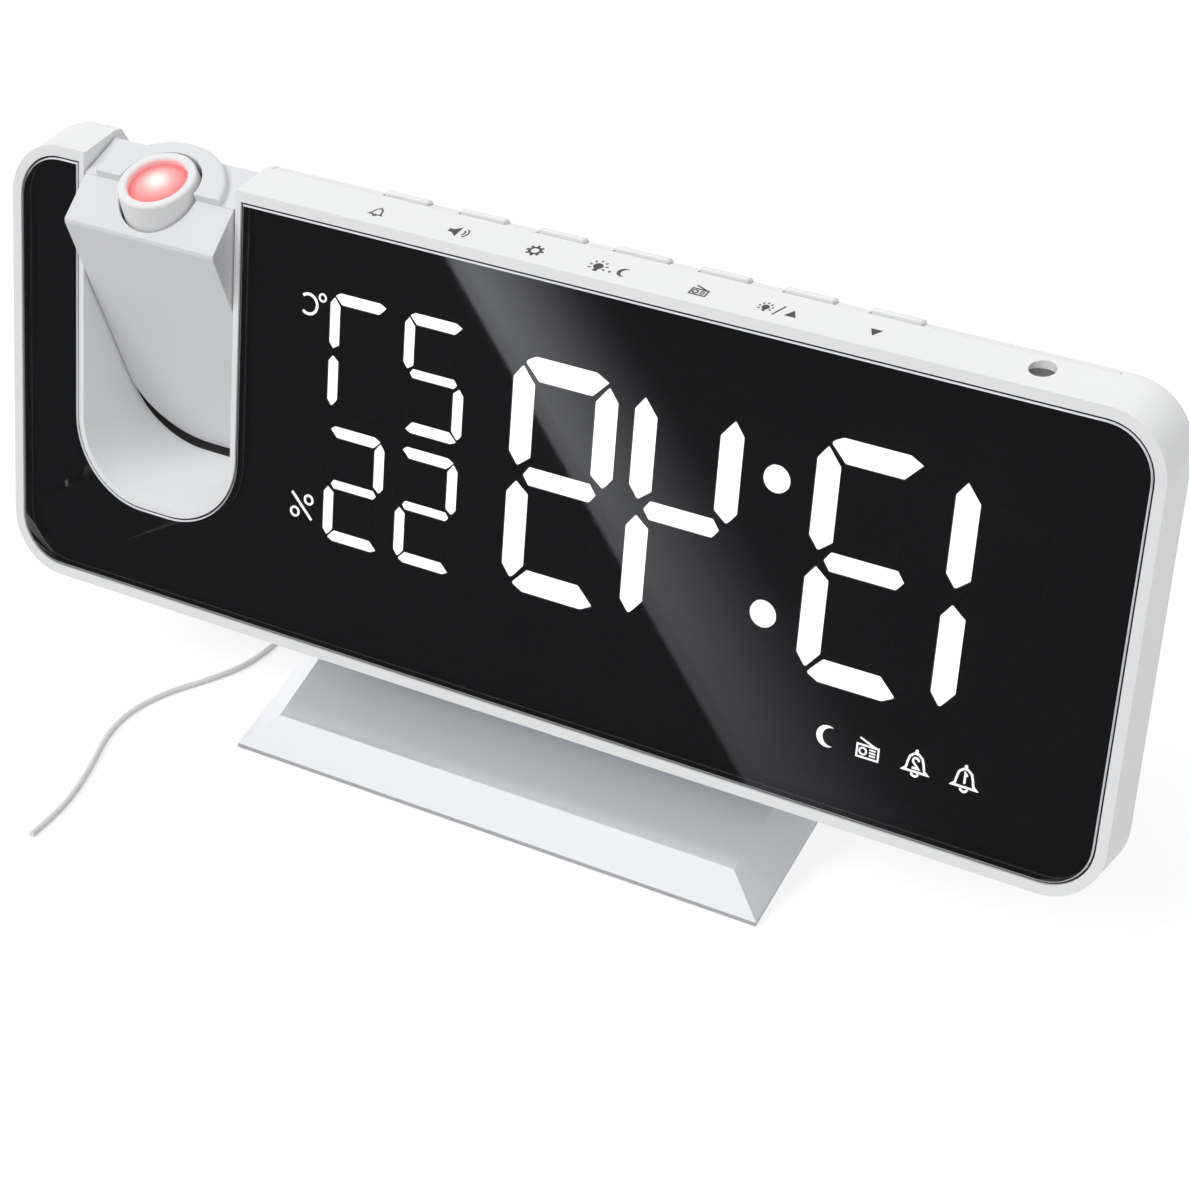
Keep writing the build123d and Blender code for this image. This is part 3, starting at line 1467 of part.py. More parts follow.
with BuildPart() as antenna_wire:
    with BuildLine() as wire_path:
        FilletPolyline(*wire_points, radius=wire_bends)
    with BuildSketch(Plane(origin=corners[0], z_dir=corners[1] - corners[0])):
        Circle(wire_radius)
    sweep(path=wire_path.wire())
antenna_wire.part.label = "antenna_wire"
export_step(antenna_wire.part, "parts/antenna_wire.step")
wire_length = wire_path.wire().length
print("wire length", round(wire_length, 2))
print("wire volume", round(antenna_wire.part.volume, 2))
print("section times length", round(math.pi * wire_radius**2 * wire_length, 2))
print("hinge", [round(value, 4) for value in hinge_point])
print("panel up", [round(value, 6) for value in panel.y_dir])
print("arm up", [round(value, 6) for value in arm.y_dir])
print("optic", [round(value, 4) for value in optic_side.origin])
print("glass_y", glass_y)
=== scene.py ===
import bmesh
import bpy
import json
import math
from mathutils import Matrix, Vector


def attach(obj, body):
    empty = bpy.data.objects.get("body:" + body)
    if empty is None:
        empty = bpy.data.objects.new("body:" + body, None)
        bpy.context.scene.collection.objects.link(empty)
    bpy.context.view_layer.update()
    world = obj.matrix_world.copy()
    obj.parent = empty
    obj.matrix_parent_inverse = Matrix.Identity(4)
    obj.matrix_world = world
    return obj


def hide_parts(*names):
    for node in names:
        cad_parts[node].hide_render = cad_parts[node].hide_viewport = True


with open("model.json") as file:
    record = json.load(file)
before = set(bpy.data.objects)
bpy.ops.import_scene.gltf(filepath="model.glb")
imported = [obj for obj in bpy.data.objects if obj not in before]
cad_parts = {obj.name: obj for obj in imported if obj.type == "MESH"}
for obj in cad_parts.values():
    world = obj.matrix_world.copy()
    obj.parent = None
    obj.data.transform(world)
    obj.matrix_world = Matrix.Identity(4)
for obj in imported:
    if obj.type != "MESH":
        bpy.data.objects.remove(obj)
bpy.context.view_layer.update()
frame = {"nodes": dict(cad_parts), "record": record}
scene = bpy.context.scene
nodes = frame["nodes"]
print("frame loaded:", len(nodes), "nodes")

# Where things are, in mm: u runs across the clock from its middle, up along the
# glass from its lower edge, and deep behind the glass face.
body = {
    "lean": 8.144, "glassY": -15.45, "glassZ": 19.0,
    "glassWide": 186.0, "glassHigh": 67.9, "glassRound": 7.3,
}
leanSin = math.sin(math.radians(body["lean"]))
leanCos = math.cos(math.radians(body["lean"]))
across = Vector((1, 0, 0))
towardViewer = Vector((0, -leanCos, leanSin))
upGlass = Vector((0, leanSin, leanCos))


def onClock(u, up, deep):
    y = body["glassY"] + up * leanSin + deep * leanCos
    z = body["glassZ"] + up * leanCos - deep * leanSin
    return Vector((u, y, z)) / 1000


def placing(origin, sideways, upward, outward):
    # turns a flat drawing in mm into place: x sideways, y upward, z outward
    turn = Matrix((sideways, upward, outward)).transposed().to_4x4()
    return Matrix.Translation(origin) @ turn @ Matrix.Scale(0.001, 4)


glassPlace = placing(onClock(0, 0, 0), across, upGlass, towardViewer)
stripFoot, stripTop = onClock(0, 69.85, 0.6), onClock(0, 71.75, 7.4)
stripUp = (stripTop - stripFoot).normalized()
stripPlace = placing(stripFoot, across, stripUp, across.cross(stripUp))


# sums and nodes, for finishes and for Geometry Nodes
class Signal:
    # a socket that takes part in sums
    def __init__(self, tree, socket):
        self.tree = tree
        self.socket = socket

    def maths(self, operation, *values):
        return addNode(self.tree, "ShaderNodeMath", {"operation": operation}, dict(enumerate(values)))

    def __add__(self, other):
        return self.maths("ADD", self, other)

    def __sub__(self, other):
        return self.maths("SUBTRACT", self, other)

    def __rsub__(self, other):
        return self.maths("SUBTRACT", other, self)

    def __mul__(self, other):
        return self.maths("MULTIPLY", self, other)

    def __truediv__(self, other):
        return self.maths("DIVIDE", self, other)

    def __pow__(self, other):
        return self.maths("POWER", self, other)

    __radd__ = __add__


def addNode(tree, kind, settings=None, values=None, output=0):
    node = tree.nodes.new(kind)
    for name, setting in (settings or {}).items():
        if name == "stops":
            fillRamp(node.color_ramp, setting)
        else:
            setattr(node, name, setting)
    for name, value in (values or {}).items():
        if isinstance(value, Signal):
            tree.links.new(value.socket, node.inputs[name])
        else:
            node.inputs[name].default_value = value
    return Signal(tree, node.outputs[output]) if node.outputs else node


def fillRamp(ramp, stops):
    while len(ramp.elements) < len(stops):
        ramp.elements.new(1)
    for element, (place, colour) in zip(ramp.elements, stops):
        element.position = place
        element.color = (*colour, 1)


def addPiece(name, data):
    piece = bpy.data.objects.new(name, data)
    scene.collection.objects.link(piece)
    return piece


def closeMesh(work, name, dress):
    # a finished mesh with its finishes, and the working one is let go
    mesh = bpy.data.meshes.new(name)
    for finish in dress:
        mesh.materials.append(finish)
    work.to_mesh(mesh)
    work.free()
    return mesh


def plainMesh(source, name):
    # what the object looks like with its modifiers, as a mesh of its own
    bpy.context.view_layer.update()
    ready = source.evaluated_get(bpy.context.evaluated_depsgraph_get())
    mesh = bpy.data.meshes.new_from_object(ready)
    mesh.name = name
    return mesh


def settleModifiers(piece):
    ready = plainMesh(piece, piece.name)
    piece.modifiers.clear()
    piece.data = ready


# camera
view = {"place": (0.1978, -0.32885, 0.2626), "looks": (-0.4307, 0.7388, -0.5183), "lens": 88.335}


def setCamera():
    data = bpy.data.cameras.new("camera")
    data.lens = view["lens"]
    data.sensor_fit = "VERTICAL"
    data.sensor_height = 36
    data.clip_start = 0.01
    data.clip_end = 20
    eye = addPiece("camera", data)
    eye.location = view["place"]
    eye.rotation_euler = Vector(view["looks"]).to_track_quat("-Z", "Y").to_euler()
    scene.camera = eye


setCamera()
print("camera set")

# antenna wire, in mm, from the back of the clock round to the front
wire = {
    "thick": 1.0, "long": 162.0, "sides": 14, "smooth": 10,
    "line": [
        (-53.0, 6.47, 23.94), (-53.0, 13.6, 22.7), (-51.8, 20.6, 17.8), (-50.0, 25.6, 9.6),
        (-49.4, 31.4, 2.9), (-51.0, 39.2, 0.52), (-57.4, 44.4, 0.52), (-65.0, 43.2, 0.52),
        (-68.6, 36.2, 0.52), (-67.0, 27.8, 0.52), (-62.4, 20.4, 0.52), (-59.6, 12.4, 0.52),
        (-58.9, 4.4, 0.52), (-59.3, -2.6, 0.52), (-62.2, -9.4, 0.52), (-65.6, -15.4, 0.52),
        (-67.4, -22.8, 0.52), (-66.4, -30.2, 0.52), (-63.5, -37.2, 0.52), (-61.0, -44.2, 0.52),
        (-59.4, -51.4, 0.52), (-59.2, -57.6, 0.52),
    ],
}


def openTree(name, inputs, output):
    # a Geometry Nodes tree, what its inputs carry, and their sockets' identifiers
    tree = bpy.data.node_groups.new(name, "GeometryNodeTree")
    sockets = {}
    for label, kind in inputs.items():
        socket = tree.interface.new_socket(label, in_out="INPUT", socket_type="NodeSocket" + kind)
        sockets[label] = socket.identifier
    tree.interface.new_socket(output, in_out="OUTPUT", socket_type="NodeSocketGeometry")
    given = tree.nodes.new("NodeGroupInput")
    return tree, {label: Signal(tree, given.outputs[label]) for label in inputs}, sockets


def growFrom(piece, tree, sockets, given):
    # the piece as a Geometry Nodes tree makes it from its own points or edges
    maker = piece.modifiers.new("maker", "NODES")
    maker.node_group = tree
    for label, value in given.items():
        maker[sockets[label]] = value
    settleModifiers(piece)


def tubeTree():
    # sweeps a round section along the piece's edges
    kinds = {"Line": "Geometry", "Thick": "Float", "Sides": "Int"}
    tree, value, sockets = openTree("sweepTube", kinds, "Tube")
    line = addNode(tree, "GeometryNodeMeshToCurve", None, {"Mesh": value["Line"]})
    ring = addNode(tree, "GeometryNodeCurvePrimitiveCircle", None, {
        "Resolution": value["Sides"], "Radius": value["Thick"] * 0.5})
    tube = addNode(tree, "GeometryNodeCurveToMesh", None, {
        "Curve": line, "Profile Curve": ring, "Fill Caps": True})
    smooth = addNode(tree, "GeometryNodeSetShadeSmooth", None, {"Geometry": tube})
    addNode(tree, "NodeGroupOutput", None, {"Tube": smooth})
    return tree, sockets


def layWire():
    curve = bpy.data.curves.new("antennaLine", "CURVE")
    curve.dimensions = "3D"
    curve.resolution_u = wire["smooth"]
    spline = curve.splines.new("NURBS")
    spline.points.add(len(wire["line"]) - 1)
    for point, (x, y, z) in zip(spline.points, wire["line"]):
        point.co = (x / 1000, y / 1000, z / 1000, 1)
    spline.order_u = 3
    spline.use_endpoint_u = True
    guide = addPiece("antennaLine", curve)
    path = plainMesh(guide, "antennaPath")
    bpy.data.objects.remove(guide)
    piece = addPiece("antennaWire", path)
    growFrom(piece, *tubeTree(), {"Thick": wire["thick"] / 1000, "Sides": wire["sides"]})
    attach(piece, "clock")
    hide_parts("antenna_wire")
    return piece


antennaWire = layWire()
print("antenna wire laid")


# finishes, the shared parts
def startFinish(name):
    # a new material, its tree, and the place on the piece that patterns are read at
    finish = bpy.data.materials.new(name)
    finish.use_nodes = True
    tree = finish.node_tree
    tree.nodes.clear()
    return finish, tree, addNode(tree, "ShaderNodeTexCoord", None, None, "Object")


def closeFinish(tree, values):
    shader = addNode(tree, "ShaderNodeBsdfPrincipled", None, values)
    addNode(tree, "ShaderNodeOutputMaterial", None, {"Surface": shader})


def cloud(tree, spot, scale, detail=2.0):
    return addNode(tree, "ShaderNodeTexNoise", None, {"Vector": spot, "Scale": scale, "Detail": detail})


def mixColour(tree, share, first, second):
    colours = [c if isinstance(c, Signal) else (*c, 1) for c in (first, second)]
    return addNode(tree, "ShaderNodeMix", {"data_type": "RGBA"}, {0: share, 6: colours[0], 7: colours[1]}, 2)


def dent(tree, height, strength, distance):
    values = {"Height": height, "Strength": strength, "Distance": distance}
    return addNode(tree, "ShaderNodeBump", None, values)


# finishes: lengths of a shader's bumps are in metres
grainHeight = 0.00004
waveHeight = 0.0001
markHeight = 0.00003
trackHeight = 0.00004
peelHeight = 0.00006
inkHeight = 0.00002
acrylicIor = 1.49


def mouldedPlastic(name, look):
    # injection-moulded plastic: soft clouds in tone and gloss, fine eroded grain
    finish, tree, spot = startFinish(name)
    flow = cloud(tree, spot, look["flowScale"], 1.5)
    grain = cloud(tree, spot, look["grainScale"], 3.0)
    drift = (flow - 0.5) * look["glossDrift"]
    closeFinish(tree, {
        "Base Color": mixColour(tree, flow, look["colour"], look["shade"]),
        "Roughness": look["rough"] + drift + (grain - 0.5) * look["grainGloss"],
        "Specular IOR Level": look["shine"],
        "Coat Weight": look["coat"],
        "Coat Roughness": 0.12,
        "Normal": dent(tree, grain, look["grainDeep"], grainHeight),
    })
    return finish


# what moulded pieces share, unless they say otherwise
mouldedBase = {
    "rough": 0.34, "glossDrift": 0.05, "grainGloss": 0.05, "grainDeep": 0.12,
    "grainScale": 5200, "flowScale": 46, "shine": 0.5, "coat": 0.0,
}
shellPlastic = {**mouldedBase, "colour": (0.86, 0.865, 0.87), "shade": (0.83, 0.835, 0.845)}
armPlastic = {
    **mouldedBase, "colour": (0.76, 0.766, 0.78), "shade": (0.73, 0.737, 0.752),
    "rough": 0.42, "grainGloss": 0.06, "grainDeep": 0.2, "grainScale": 4400, "flowScale": 60, "shine": 0.45,
}
buttonPlastic = {
    **mouldedBase, "colour": (0.87, 0.872, 0.875), "shade": (0.84, 0.843, 0.85),
    "rough": 0.28, "glossDrift": 0.04, "grainGloss": 0.04, "grainDeep": 0.08,
    "grainScale": 6000, "flowScale": 90,
}
blackPlastic = {
    **mouldedBase, "colour": (0.012, 0.012, 0.013), "shade": (0.02, 0.02, 0.021),
    "rough": 0.62, "glossDrift": 0.1, "grainGloss": 0.08, "grainDeep": 0.25,
    "grainScale": 4200, "flowScale": 80, "shine": 0.25,
}
chipPlastic = {
    **mouldedBase, "colour": (0.018, 0.018, 0.02), "shade": (0.032, 0.032, 0.034),
    "rough": 0.55, "glossDrift": 0.12, "grainGloss": 0.12, "grainDeep": 0.4,
    "grainScale": 3000, "flowScale": 200, "shine": 0.4,
}
darkBars = {
    **mouldedBase, "colour": (0.010, 0.010, 0.011), "shade": (0.014, 0.014, 0.015),
    "rough": 0.5, "glossDrift": 0.1, "grainDeep": 0.1, "grainScale": 3600, "flowScale": 120, "shine": 0.3,
}
whiteRubber = {
    **mouldedBase, "colour": (0.78, 0.78, 0.77), "shade": (0.72, 0.72, 0.71),
    "rough": 0.66, "glossDrift": 0.1, "grainGloss": 0.08, "grainDeep": 0.35,
    "grainScale": 2600, "flowScale": 120, "shine": 0.3,
}
blackRubber = {
    **mouldedBase, "colour": (0.015, 0.015, 0.016), "shade": (0.026, 0.026, 0.027),
    "rough": 0.72, "glossDrift": 0.12, "grainGloss": 0.1, "grainDeep": 0.45,
    "grainScale": 2300, "flowScale": 150, "shine": 0.3,
}
tonguePlastic = {
    **mouldedBase, "colour": (0.80, 0.80, 0.78), "shade": (0.74, 0.74, 0.72),
    "rough": 0.4, "glossDrift": 0.06, "grainGloss": 0.04, "grainDeep": 0.1,
    "grainScale": 5000, "flowScale": 200,
}
conePaper = {
    **mouldedBase, "colour": (0.022, 0.022, 0.024), "shade": (0.045, 0.044, 0.043),
    "rough": 0.85, "glossDrift": 0.1, "grainGloss": 0.1, "grainDeep": 0.8,
    "grainScale": 1600, "flowScale": 300, "shine": 0.2,
}
wireSkin = {
    **mouldedBase, "colour": (0.84, 0.84, 0.85), "shade": (0.79, 0.79, 0.80),
    "rough": 0.38, "glossDrift": 0.08, "grainGloss": 0.04, "grainDeep": 0.15,
    "grainScale": 3800, "flowScale": 180,
}
smokeWindow = {
    **mouldedBase, "colour": (0.008, 0.008, 0.009), "shade": (0.012, 0.011, 0.012),
    "rough": 0.12, "glossDrift": 0.04, "grainGloss": 0.02, "grainDeep": 0.0, "grainScale": 3000,
    "flowScale": 300, "shine": 0.6, "coat": 0.2,
}


def smokedAcrylic(name, look):
    # dark see-through sheet, polished, with the faint waviness of cast acrylic
    finish, tree, spot = startFinish(name)
    wave = cloud(tree, spot, look["waveScale"], 1.0)
    haze = cloud(tree, spot, look["hazeScale"])
    closeFinish(tree, {
        "Base Color": mixColour(tree, haze, look["colour"], look["shade"]),
        "Roughness": look["rough"] + haze * look["hazeGloss"],
        "Specular IOR Level": look["shine"],
        "IOR": acrylicIor,
        "Alpha": look["cover"],
        "Normal": dent(tree, wave, look["waveDeep"], waveHeight),
    })
    return finish


panelAcrylic = {
    "colour": (0.004, 0.004, 0.005), "shade": (0.007, 0.007, 0.008), "rough": 0.02, "hazeGloss": 0.02,
    "shine": 0.5, "cover": 0.55, "waveScale": 14, "hazeScale": 40, "waveDeep": 0.02,
}


def litPlastic(name, look):
    # clear bar lit from behind, a touch brighter in soft random pools
    finish, tree, spot = startFinish(name)
    pool = cloud(tree, spot, look["poolScale"], 1.0)
    closeFinish(tree, {
        "Base Color": mixColour(tree, pool, look["colour"], look["shade"]),
        "Roughness": look["rough"] + pool * look["poolGloss"],
        "Emission Color": mixColour(tree, pool, look["glow"], look["edge"]),
        "Emission Strength": look["strength"],
    })
    return finish


barLight = {
    "colour": (0.8, 0.8, 0.8), "shade": (0.7, 0.7, 0.72), "rough": 0.4, "poolGloss": 0.1, "poolScale": 160,
    "glow": (1.0, 1.0, 1.0), "edge": (0.94, 0.96, 1.0), "strength": 6.5,
}


def plainMetal(name, look):
    # turned or stamped metal with fine directional marks
    finish, tree, spot = startFinish(name)
    stretched = addNode(tree, "ShaderNodeMapping", None, {"Vector": spot, "Scale": look["marks"]})
    marks = cloud(tree, stretched, look["markScale"], 3.0)
    patch = cloud(tree, spot, look["patchScale"])
    closeFinish(tree, {
        "Base Color": mixColour(tree, patch, look["colour"], look["shade"]),
        "Metallic": 1.0,
        "Roughness": look["rough"] + (marks - 0.5) * look["markGloss"],
        "Normal": dent(tree, marks, look["markDeep"], markHeight),
    })
    return finish


nickelPlate = {
    "colour": (0.72, 0.70, 0.66), "shade": (0.66, 0.64, 0.61), "rough": 0.24,
    "marks": (1, 1, 6), "markScale": 900, "markGloss": 0.14, "markDeep": 0.15, "patchScale": 260,
}
zincSteel = {
    "colour": (0.58, 0.58, 0.59), "shade": (0.50, 0.50, 0.52), "rough": 0.34,
    "marks": (6, 1, 1), "markScale": 900, "markGloss": 0.18, "markDeep": 0.25, "patchScale": 260,
}


def circuitBoard(name, look):
    # solder mask over copper tracks
    finish, tree, spot = startFinish(name)
    cells = addNode(tree, "ShaderNodeTexVoronoi", {"distance": "MANHATTAN"}, {
        "Vector": spot, "Scale": look["trackScale"]})
    low, high = look["trackEdge"]
    tracks = addNode(tree, "ShaderNodeMapRange", None, {0: cells, 1: low, 2: high, 3: 0.0, 4: 1.0})
    weave = cloud(tree, spot, look["weaveScale"])
    closeFinish(tree, {
        "Base Color": mixColour(tree, tracks, look["colour"], look["track"]),
        "Roughness": look["rough"] + weave * look["weaveGloss"],
        "Normal": dent(tree, tracks + weave * look["weaveDeep"], look["trackDeep"], trackHeight),
    })
    return finish


boardMask = {
    "colour": (0.012, 0.09, 0.035), "track": (0.03, 0.16, 0.06), "rough": 0.28,
    "trackScale": 420, "trackEdge": (0.36, 0.44), "trackDeep": 0.3,
    "weaveScale": 1500, "weaveGloss": 0.12, "weaveDeep": 0.15,
}


def lampLens(name, look):
    # lens that the lamp shines through: white hot in the middle, red at the rim
    finish, tree, spot = startFinish(name)
    out = addNode(tree, "ShaderNodeVectorMath", {"operation": "SUBTRACT"}, {0: spot, 1: look["middle"]})
    arm = addNode(tree, "ShaderNodeVectorMath", {"operation": "CROSS_PRODUCT"}, {0: out, 1: look["axis"]})
    away = addNode(tree, "ShaderNodeVectorMath", {"operation": "LENGTH"}, {0: arm}, 1)
    ripple = cloud(tree, spot, look["rippleScale"])
    share = away / look["radius"] + (ripple - 0.5) * look["rippleShare"]
    glow = addNode(tree, "ShaderNodeValToRGB", {"stops": look["stops"]}, {0: share})
    closeFinish(tree, {
        "Base Color": mixColour(tree, ripple, look["colour"], look["shade"]),
        "Roughness": look["rough"] + ripple * look["rippleGloss"],
        "IOR": acrylicIor,
        "Emission Color": glow,
        "Emission Strength": look["strength"],
    })
    return finish


lensGlow = {
    "middle": (-0.0666, 0.0000806, 0.0704361), "axis": (0, -0.35602, 0.934478), "radius": 0.0046,
    "colour": (0.75, 0.20, 0.20), "shade": (0.70, 0.16, 0.17), "rough": 0.06,
    "rippleScale": 700, "rippleShare": 0.06, "rippleGloss": 0.03, "strength": 1.0,
    "stops": [
        (0.0, (1.0, 0.93, 0.90)), (0.22, (1.0, 0.70, 0.66)), (0.5, (0.98, 0.30, 0.28)),
        (0.8, (0.80, 0.10, 0.10)), (1.0, (0.45, 0.03, 0.04)),
    ],
}


def silverPaint(name, look):
    # pale metallic paint with fine flakes
    finish, tree, spot = startFinish(name)
    flakes = addNode(tree, "ShaderNodeTexVoronoi", None, {"Vector": spot, "Scale": look["flakeScale"]}, 1)
    bright = addNode(tree, "ShaderNodeSeparateColor", None, {0: flakes})
    peel = cloud(tree, spot, look["peelScale"])
    closeFinish(tree, {
        "Base Color": mixColour(tree, bright * look["flakeShare"], look["colour"], look["shade"]),
        "Metallic": look["metal"],
        "Roughness": look["rough"] + (bright - 0.5) * look["flakeGloss"],
        "Coat Weight": look["coat"],
        "Coat Roughness": 0.15,
        "Normal": dent(tree, peel, look["peelDeep"], peelHeight),
    })
    return finish


footPaint = {
    "colour": (0.88, 0.89, 0.915), "shade": (0.80, 0.81, 0.84), "metal": 0.85, "rough": 0.24, "coat": 0.1,
    "flakeScale": 14000, "flakeShare": 0.4, "flakeGloss": 0.05, "peelScale": 700, "peelDeep": 0.08,
}
# darker grey for the foot's lips: painted shade, the foot being one paint
lipShadePaint = {
    **footPaint, "colour": (0.42, 0.425, 0.435), "shade": (0.36, 0.365, 0.375), "metal": 0.4, "rough": 0.4,
}


def printInk(name, look):
    # pad-printed ink, slightly uneven
    finish, tree, spot = startFinish(name)
    blot = cloud(tree, spot, look["blotScale"], 3.0)
    closeFinish(tree, {
        "Base Color": mixColour(tree, blot, look["colour"], look["thin"]),
        "Roughness": look["rough"] + blot * look["blotGloss"],
        "Normal": dent(tree, blot, look["blotDeep"], inkHeight),
    })
    return finish


greyInk = {
    "colour": (0.035, 0.035, 0.037), "thin": (0.08, 0.08, 0.082), "rough": 0.5,
    "blotScale": 2600, "blotGloss": 0.15, "blotDeep": 0.15,
}
# black ink for the print on the back of the glass, also used as painted shade in the gap round the glass
maskInkAndGapShade = {**greyInk, "colour": (0.003, 0.003, 0.0035), "thin": (0.006, 0.006, 0.006), "rough": 0.7}

ringPlastic = {**armPlastic, "colour": (0.85, 0.853, 0.86), "shade": (0.82, 0.824, 0.83), "rough": 0.36}
# pale glossy colour for the glass's narrow bevel: a painted highlight on a sheet that is dark acrylic all
# through
bevelHighlight = {
    **mouldedBase, "colour": (0.80, 0.82, 0.85), "shade": (0.74, 0.76, 0.80),
    "rough": 0.16, "grainGloss": 0.02, "grainDeep": 0.02, "grainScale": 5000,
    "flowScale": 60, "shine": 0.8, "coat": 0.4,
}

finishes = {
    "shell_white": mouldedPlastic("shellWhite", shellPlastic),
    "arm_white": mouldedPlastic("armWhite", armPlastic),
    "button_white": mouldedPlastic("buttonWhite", buttonPlastic),
    "smoked_panel": smokedAcrylic("smokedPanel", panelAcrylic),
    "segment_lit": litPlastic("litBars", barLight),
    "segment_dark": mouldedPlastic("darkBars", darkBars),
    "guide_black": mouldedPlastic("guideBlack", blackPlastic),
    "board_green": circuitBoard("circuitBoard", boardMask),
    "chip_black": mouldedPlastic("chipBlack", chipPlastic),
    "led_body": litPlastic("lampBodies", {**barLight, "strength": 0.6}),
    "sensor_smoke": mouldedPlastic("sensorSmoke", smokeWindow),
    "steel": plainMetal("zincSteel", zincSteel),
    "nickel": plainMetal("nickelPlate", nickelPlate),
    "cone_black": mouldedPlastic("conePaper", conePaper),
    "tongue_white": mouldedPlastic("tongueWhite", tonguePlastic),
    "rubber_white": mouldedPlastic("whiteRubber", whiteRubber),
    "rubber_black": mouldedPlastic("blackRubber", blackRubber),
    "lens_glass": lampLens("lampLens", lensGlow),
    "slide_glass": smokedAcrylic("slideGlass", {**panelAcrylic, "cover": 0.8}),
    "foot_silver": silverPaint("footSilver", footPaint),
    "wire_white": mouldedPlastic("wireSkin", wireSkin),
}
inkFinish = printInk("greyInk", greyInk)
maskAndGapShadeFinish = printInk("maskInkAndGapShade", maskInkAndGapShade)
signFinish = litPlastic("litSigns", {**barLight, "strength": 6.0})
ringFinish = mouldedPlastic("ringWhite", ringPlastic)
bevelHighlightFinish = mouldedPlastic("bevelPaintedHighlight", bevelHighlight)
lipShadeFinish = silverPaint("footLipShade", lipShadePaint)
# black for the screws' cross recesses: painted shade in the hollows
recessShadeFinish = mouldedPlastic("screwRecessShade", blackPlastic)

slotOf = {entry["node"]: entry["material_slot"] for entry in frame["record"]["subparts"]}


def paint(piece, finish):
    piece.data.materials.clear()
    piece.data.materials.append(finish)


for name, node in nodes.items():
    for part in node.material_slots:
        part.material = finishes[slotOf[name]]
antennaWire.data.materials.append(finishes["wire_white"])
print("finishes made:", len(finishes), "for slots and seven more")

# flat drawings, for printed and lit signs
mitreLimit = 0.3


class Drawing:
    # flat shapes in mm: filled outlines, and bands of even width
    def __init__(self):
        self.fills = []
        self.bands = []

    def fill(self, points):
        area = sum(a[0] * b[1] - b[0] * a[1] for a, b in zip(points, points[1:] + points[:1]))
        self.fills.append(points if area > 0 else points[::-1])

    def disc(self, x, y, radius, steps=28):
        self.fill(roundPoints(x, y, radius, 0, 360, steps)[:-1])

    def band(self, points, width, closed=False):
        count = len(points)
        left, right = [], []
        for k, (x, y) in enumerate(points):
            before = points[k - 1] if closed or k else None
            after = points[(k + 1) % count] if closed or k < count - 1 else None
            steps = []
            for a, b in ((before, (x, y)), ((x, y), after)):
                if a is not None and b is not None:
                    steps.append(Vector((b[0] - a[0], b[1] - a[1])).normalized())
            along = (steps[0] + steps[-1]).normalized()
            reach = width / 2 / max(mitreLimit, along.dot(steps[0]))
            left.append((x - along.y * reach, y + along.x * reach))
            right.append((x + along.y * reach, y - along.x * reach))
        self.bands.append((left, right, closed))

    def arc(self, x, y, radius, start, end, width, steps=20):
        closed = abs(end - start) >= 360
        points = roundPoints(x, y, radius, start, end, steps)
        self.band(points[:-1] if closed else points, width, closed)


def roundPoints(x, y, radius, start, end, steps):
    turns = [math.radians(start + (end - start) * k / steps) for k in range(steps + 1)]
    return [(x + radius * math.cos(t), y + radius * math.sin(t)) for t in turns]


def raiseDrawing(name, drawing, place, low, high, finish, bodyName):
    work = bmesh.new()
    for outline in drawing.fills:
        top = [work.verts.new((x, y, high)) for x, y in outline]
        base = [work.verts.new((x, y, low)) for x, y in outline]
        work.faces.new(top)
        work.faces.new(base[::-1])
        for i in range(len(outline)):
            j = (i + 1) % len(outline)
            work.faces.new((base[i], base[j], top[j], top[i]))
    for left, right, closed in drawing.bands:
        count = len(left)
        rows = [[work.verts.new((x, y, h)) for x, y in line] for line in (left, right) for h in (high, low)]
        topLeft, baseLeft, topRight, baseRight = rows
        for i in range(count if closed else count - 1):
            j = (i + 1) % count
            work.faces.new((topRight[i], topRight[j], topLeft[j], topLeft[i]))
            work.faces.new((baseLeft[i], baseLeft[j], baseRight[j], baseRight[i]))
            work.faces.new((baseRight[i], baseRight[j], topRight[j], topRight[i]))
            work.faces.new((baseLeft[j], baseLeft[i], topLeft[i], topLeft[j]))
        if not closed:
            work.faces.new((baseLeft[0], baseRight[0], topRight[0], topLeft[0]))
            work.faces.new((baseRight[-1], baseLeft[-1], topLeft[-1], topRight[-1]))
    work.transform(place)
    piece = addPiece(name, closeMesh(work, name, [finish]))
    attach(piece, bodyName)


# mouldings: the solids' outsides with softened edges and smooth curves
smoothing = {"merge": 0.002, "flat": 0.6, "sharp": 24, "segments": 2, "settle": 100}

# each row: the CAD node, its body, and the round in mm
softEdges = {
    "frontShell": ("front_shell", "clock", 0.16),
    "rearCover": ("rear_cover", "clock", 0.14),
    "armFront": ("arm_front", "arm", 0.16),
    "armBack": ("arm_back", "arm", 0.14),
    "focusRing": ("focus_ring", "focus", 0.16),
    "batteryDoor": ("battery_door", "hatch", 0.1),
    "slotBumper": ("slot_bumper", "clock", 0.1),
    "gland": ("antenna_gland", "clock", 0.1),
    "powerJack": ("power_jack", "clock", 0.06),
    "usbShell": ("usb_shell", "clock", 0.04),
}
keyRound = 0.12
for key in ("alarm", "volume", "set", "snooze", "radio", "up", "down"):
    softEdges[key + "Key"] = ("button_" + key, "key_" + key, keyRound)

# the buttons' tops slope back with the housing behind them
keySlope = {"up": 72.45, "deep": 8.75, "fall": 49.5}


def slopeKey(work):
    fall = math.radians(keySlope["fall"])
    outward = upGlass * math.cos(fall) - towardViewer * math.sin(fall)
    spot = onClock(0, keySlope["up"], keySlope["deep"])
    everything = work.verts[:] + work.edges[:] + work.faces[:]
    cut = bmesh.ops.bisect_plane(work, geom=everything, plane_co=spot, plane_no=outward, clear_outer=True)
    rim = [part for part in cut["geom_cut"] if isinstance(part, bmesh.types.BMEdge)]
    bmesh.ops.holes_fill(work, edges=rim, sides=0)


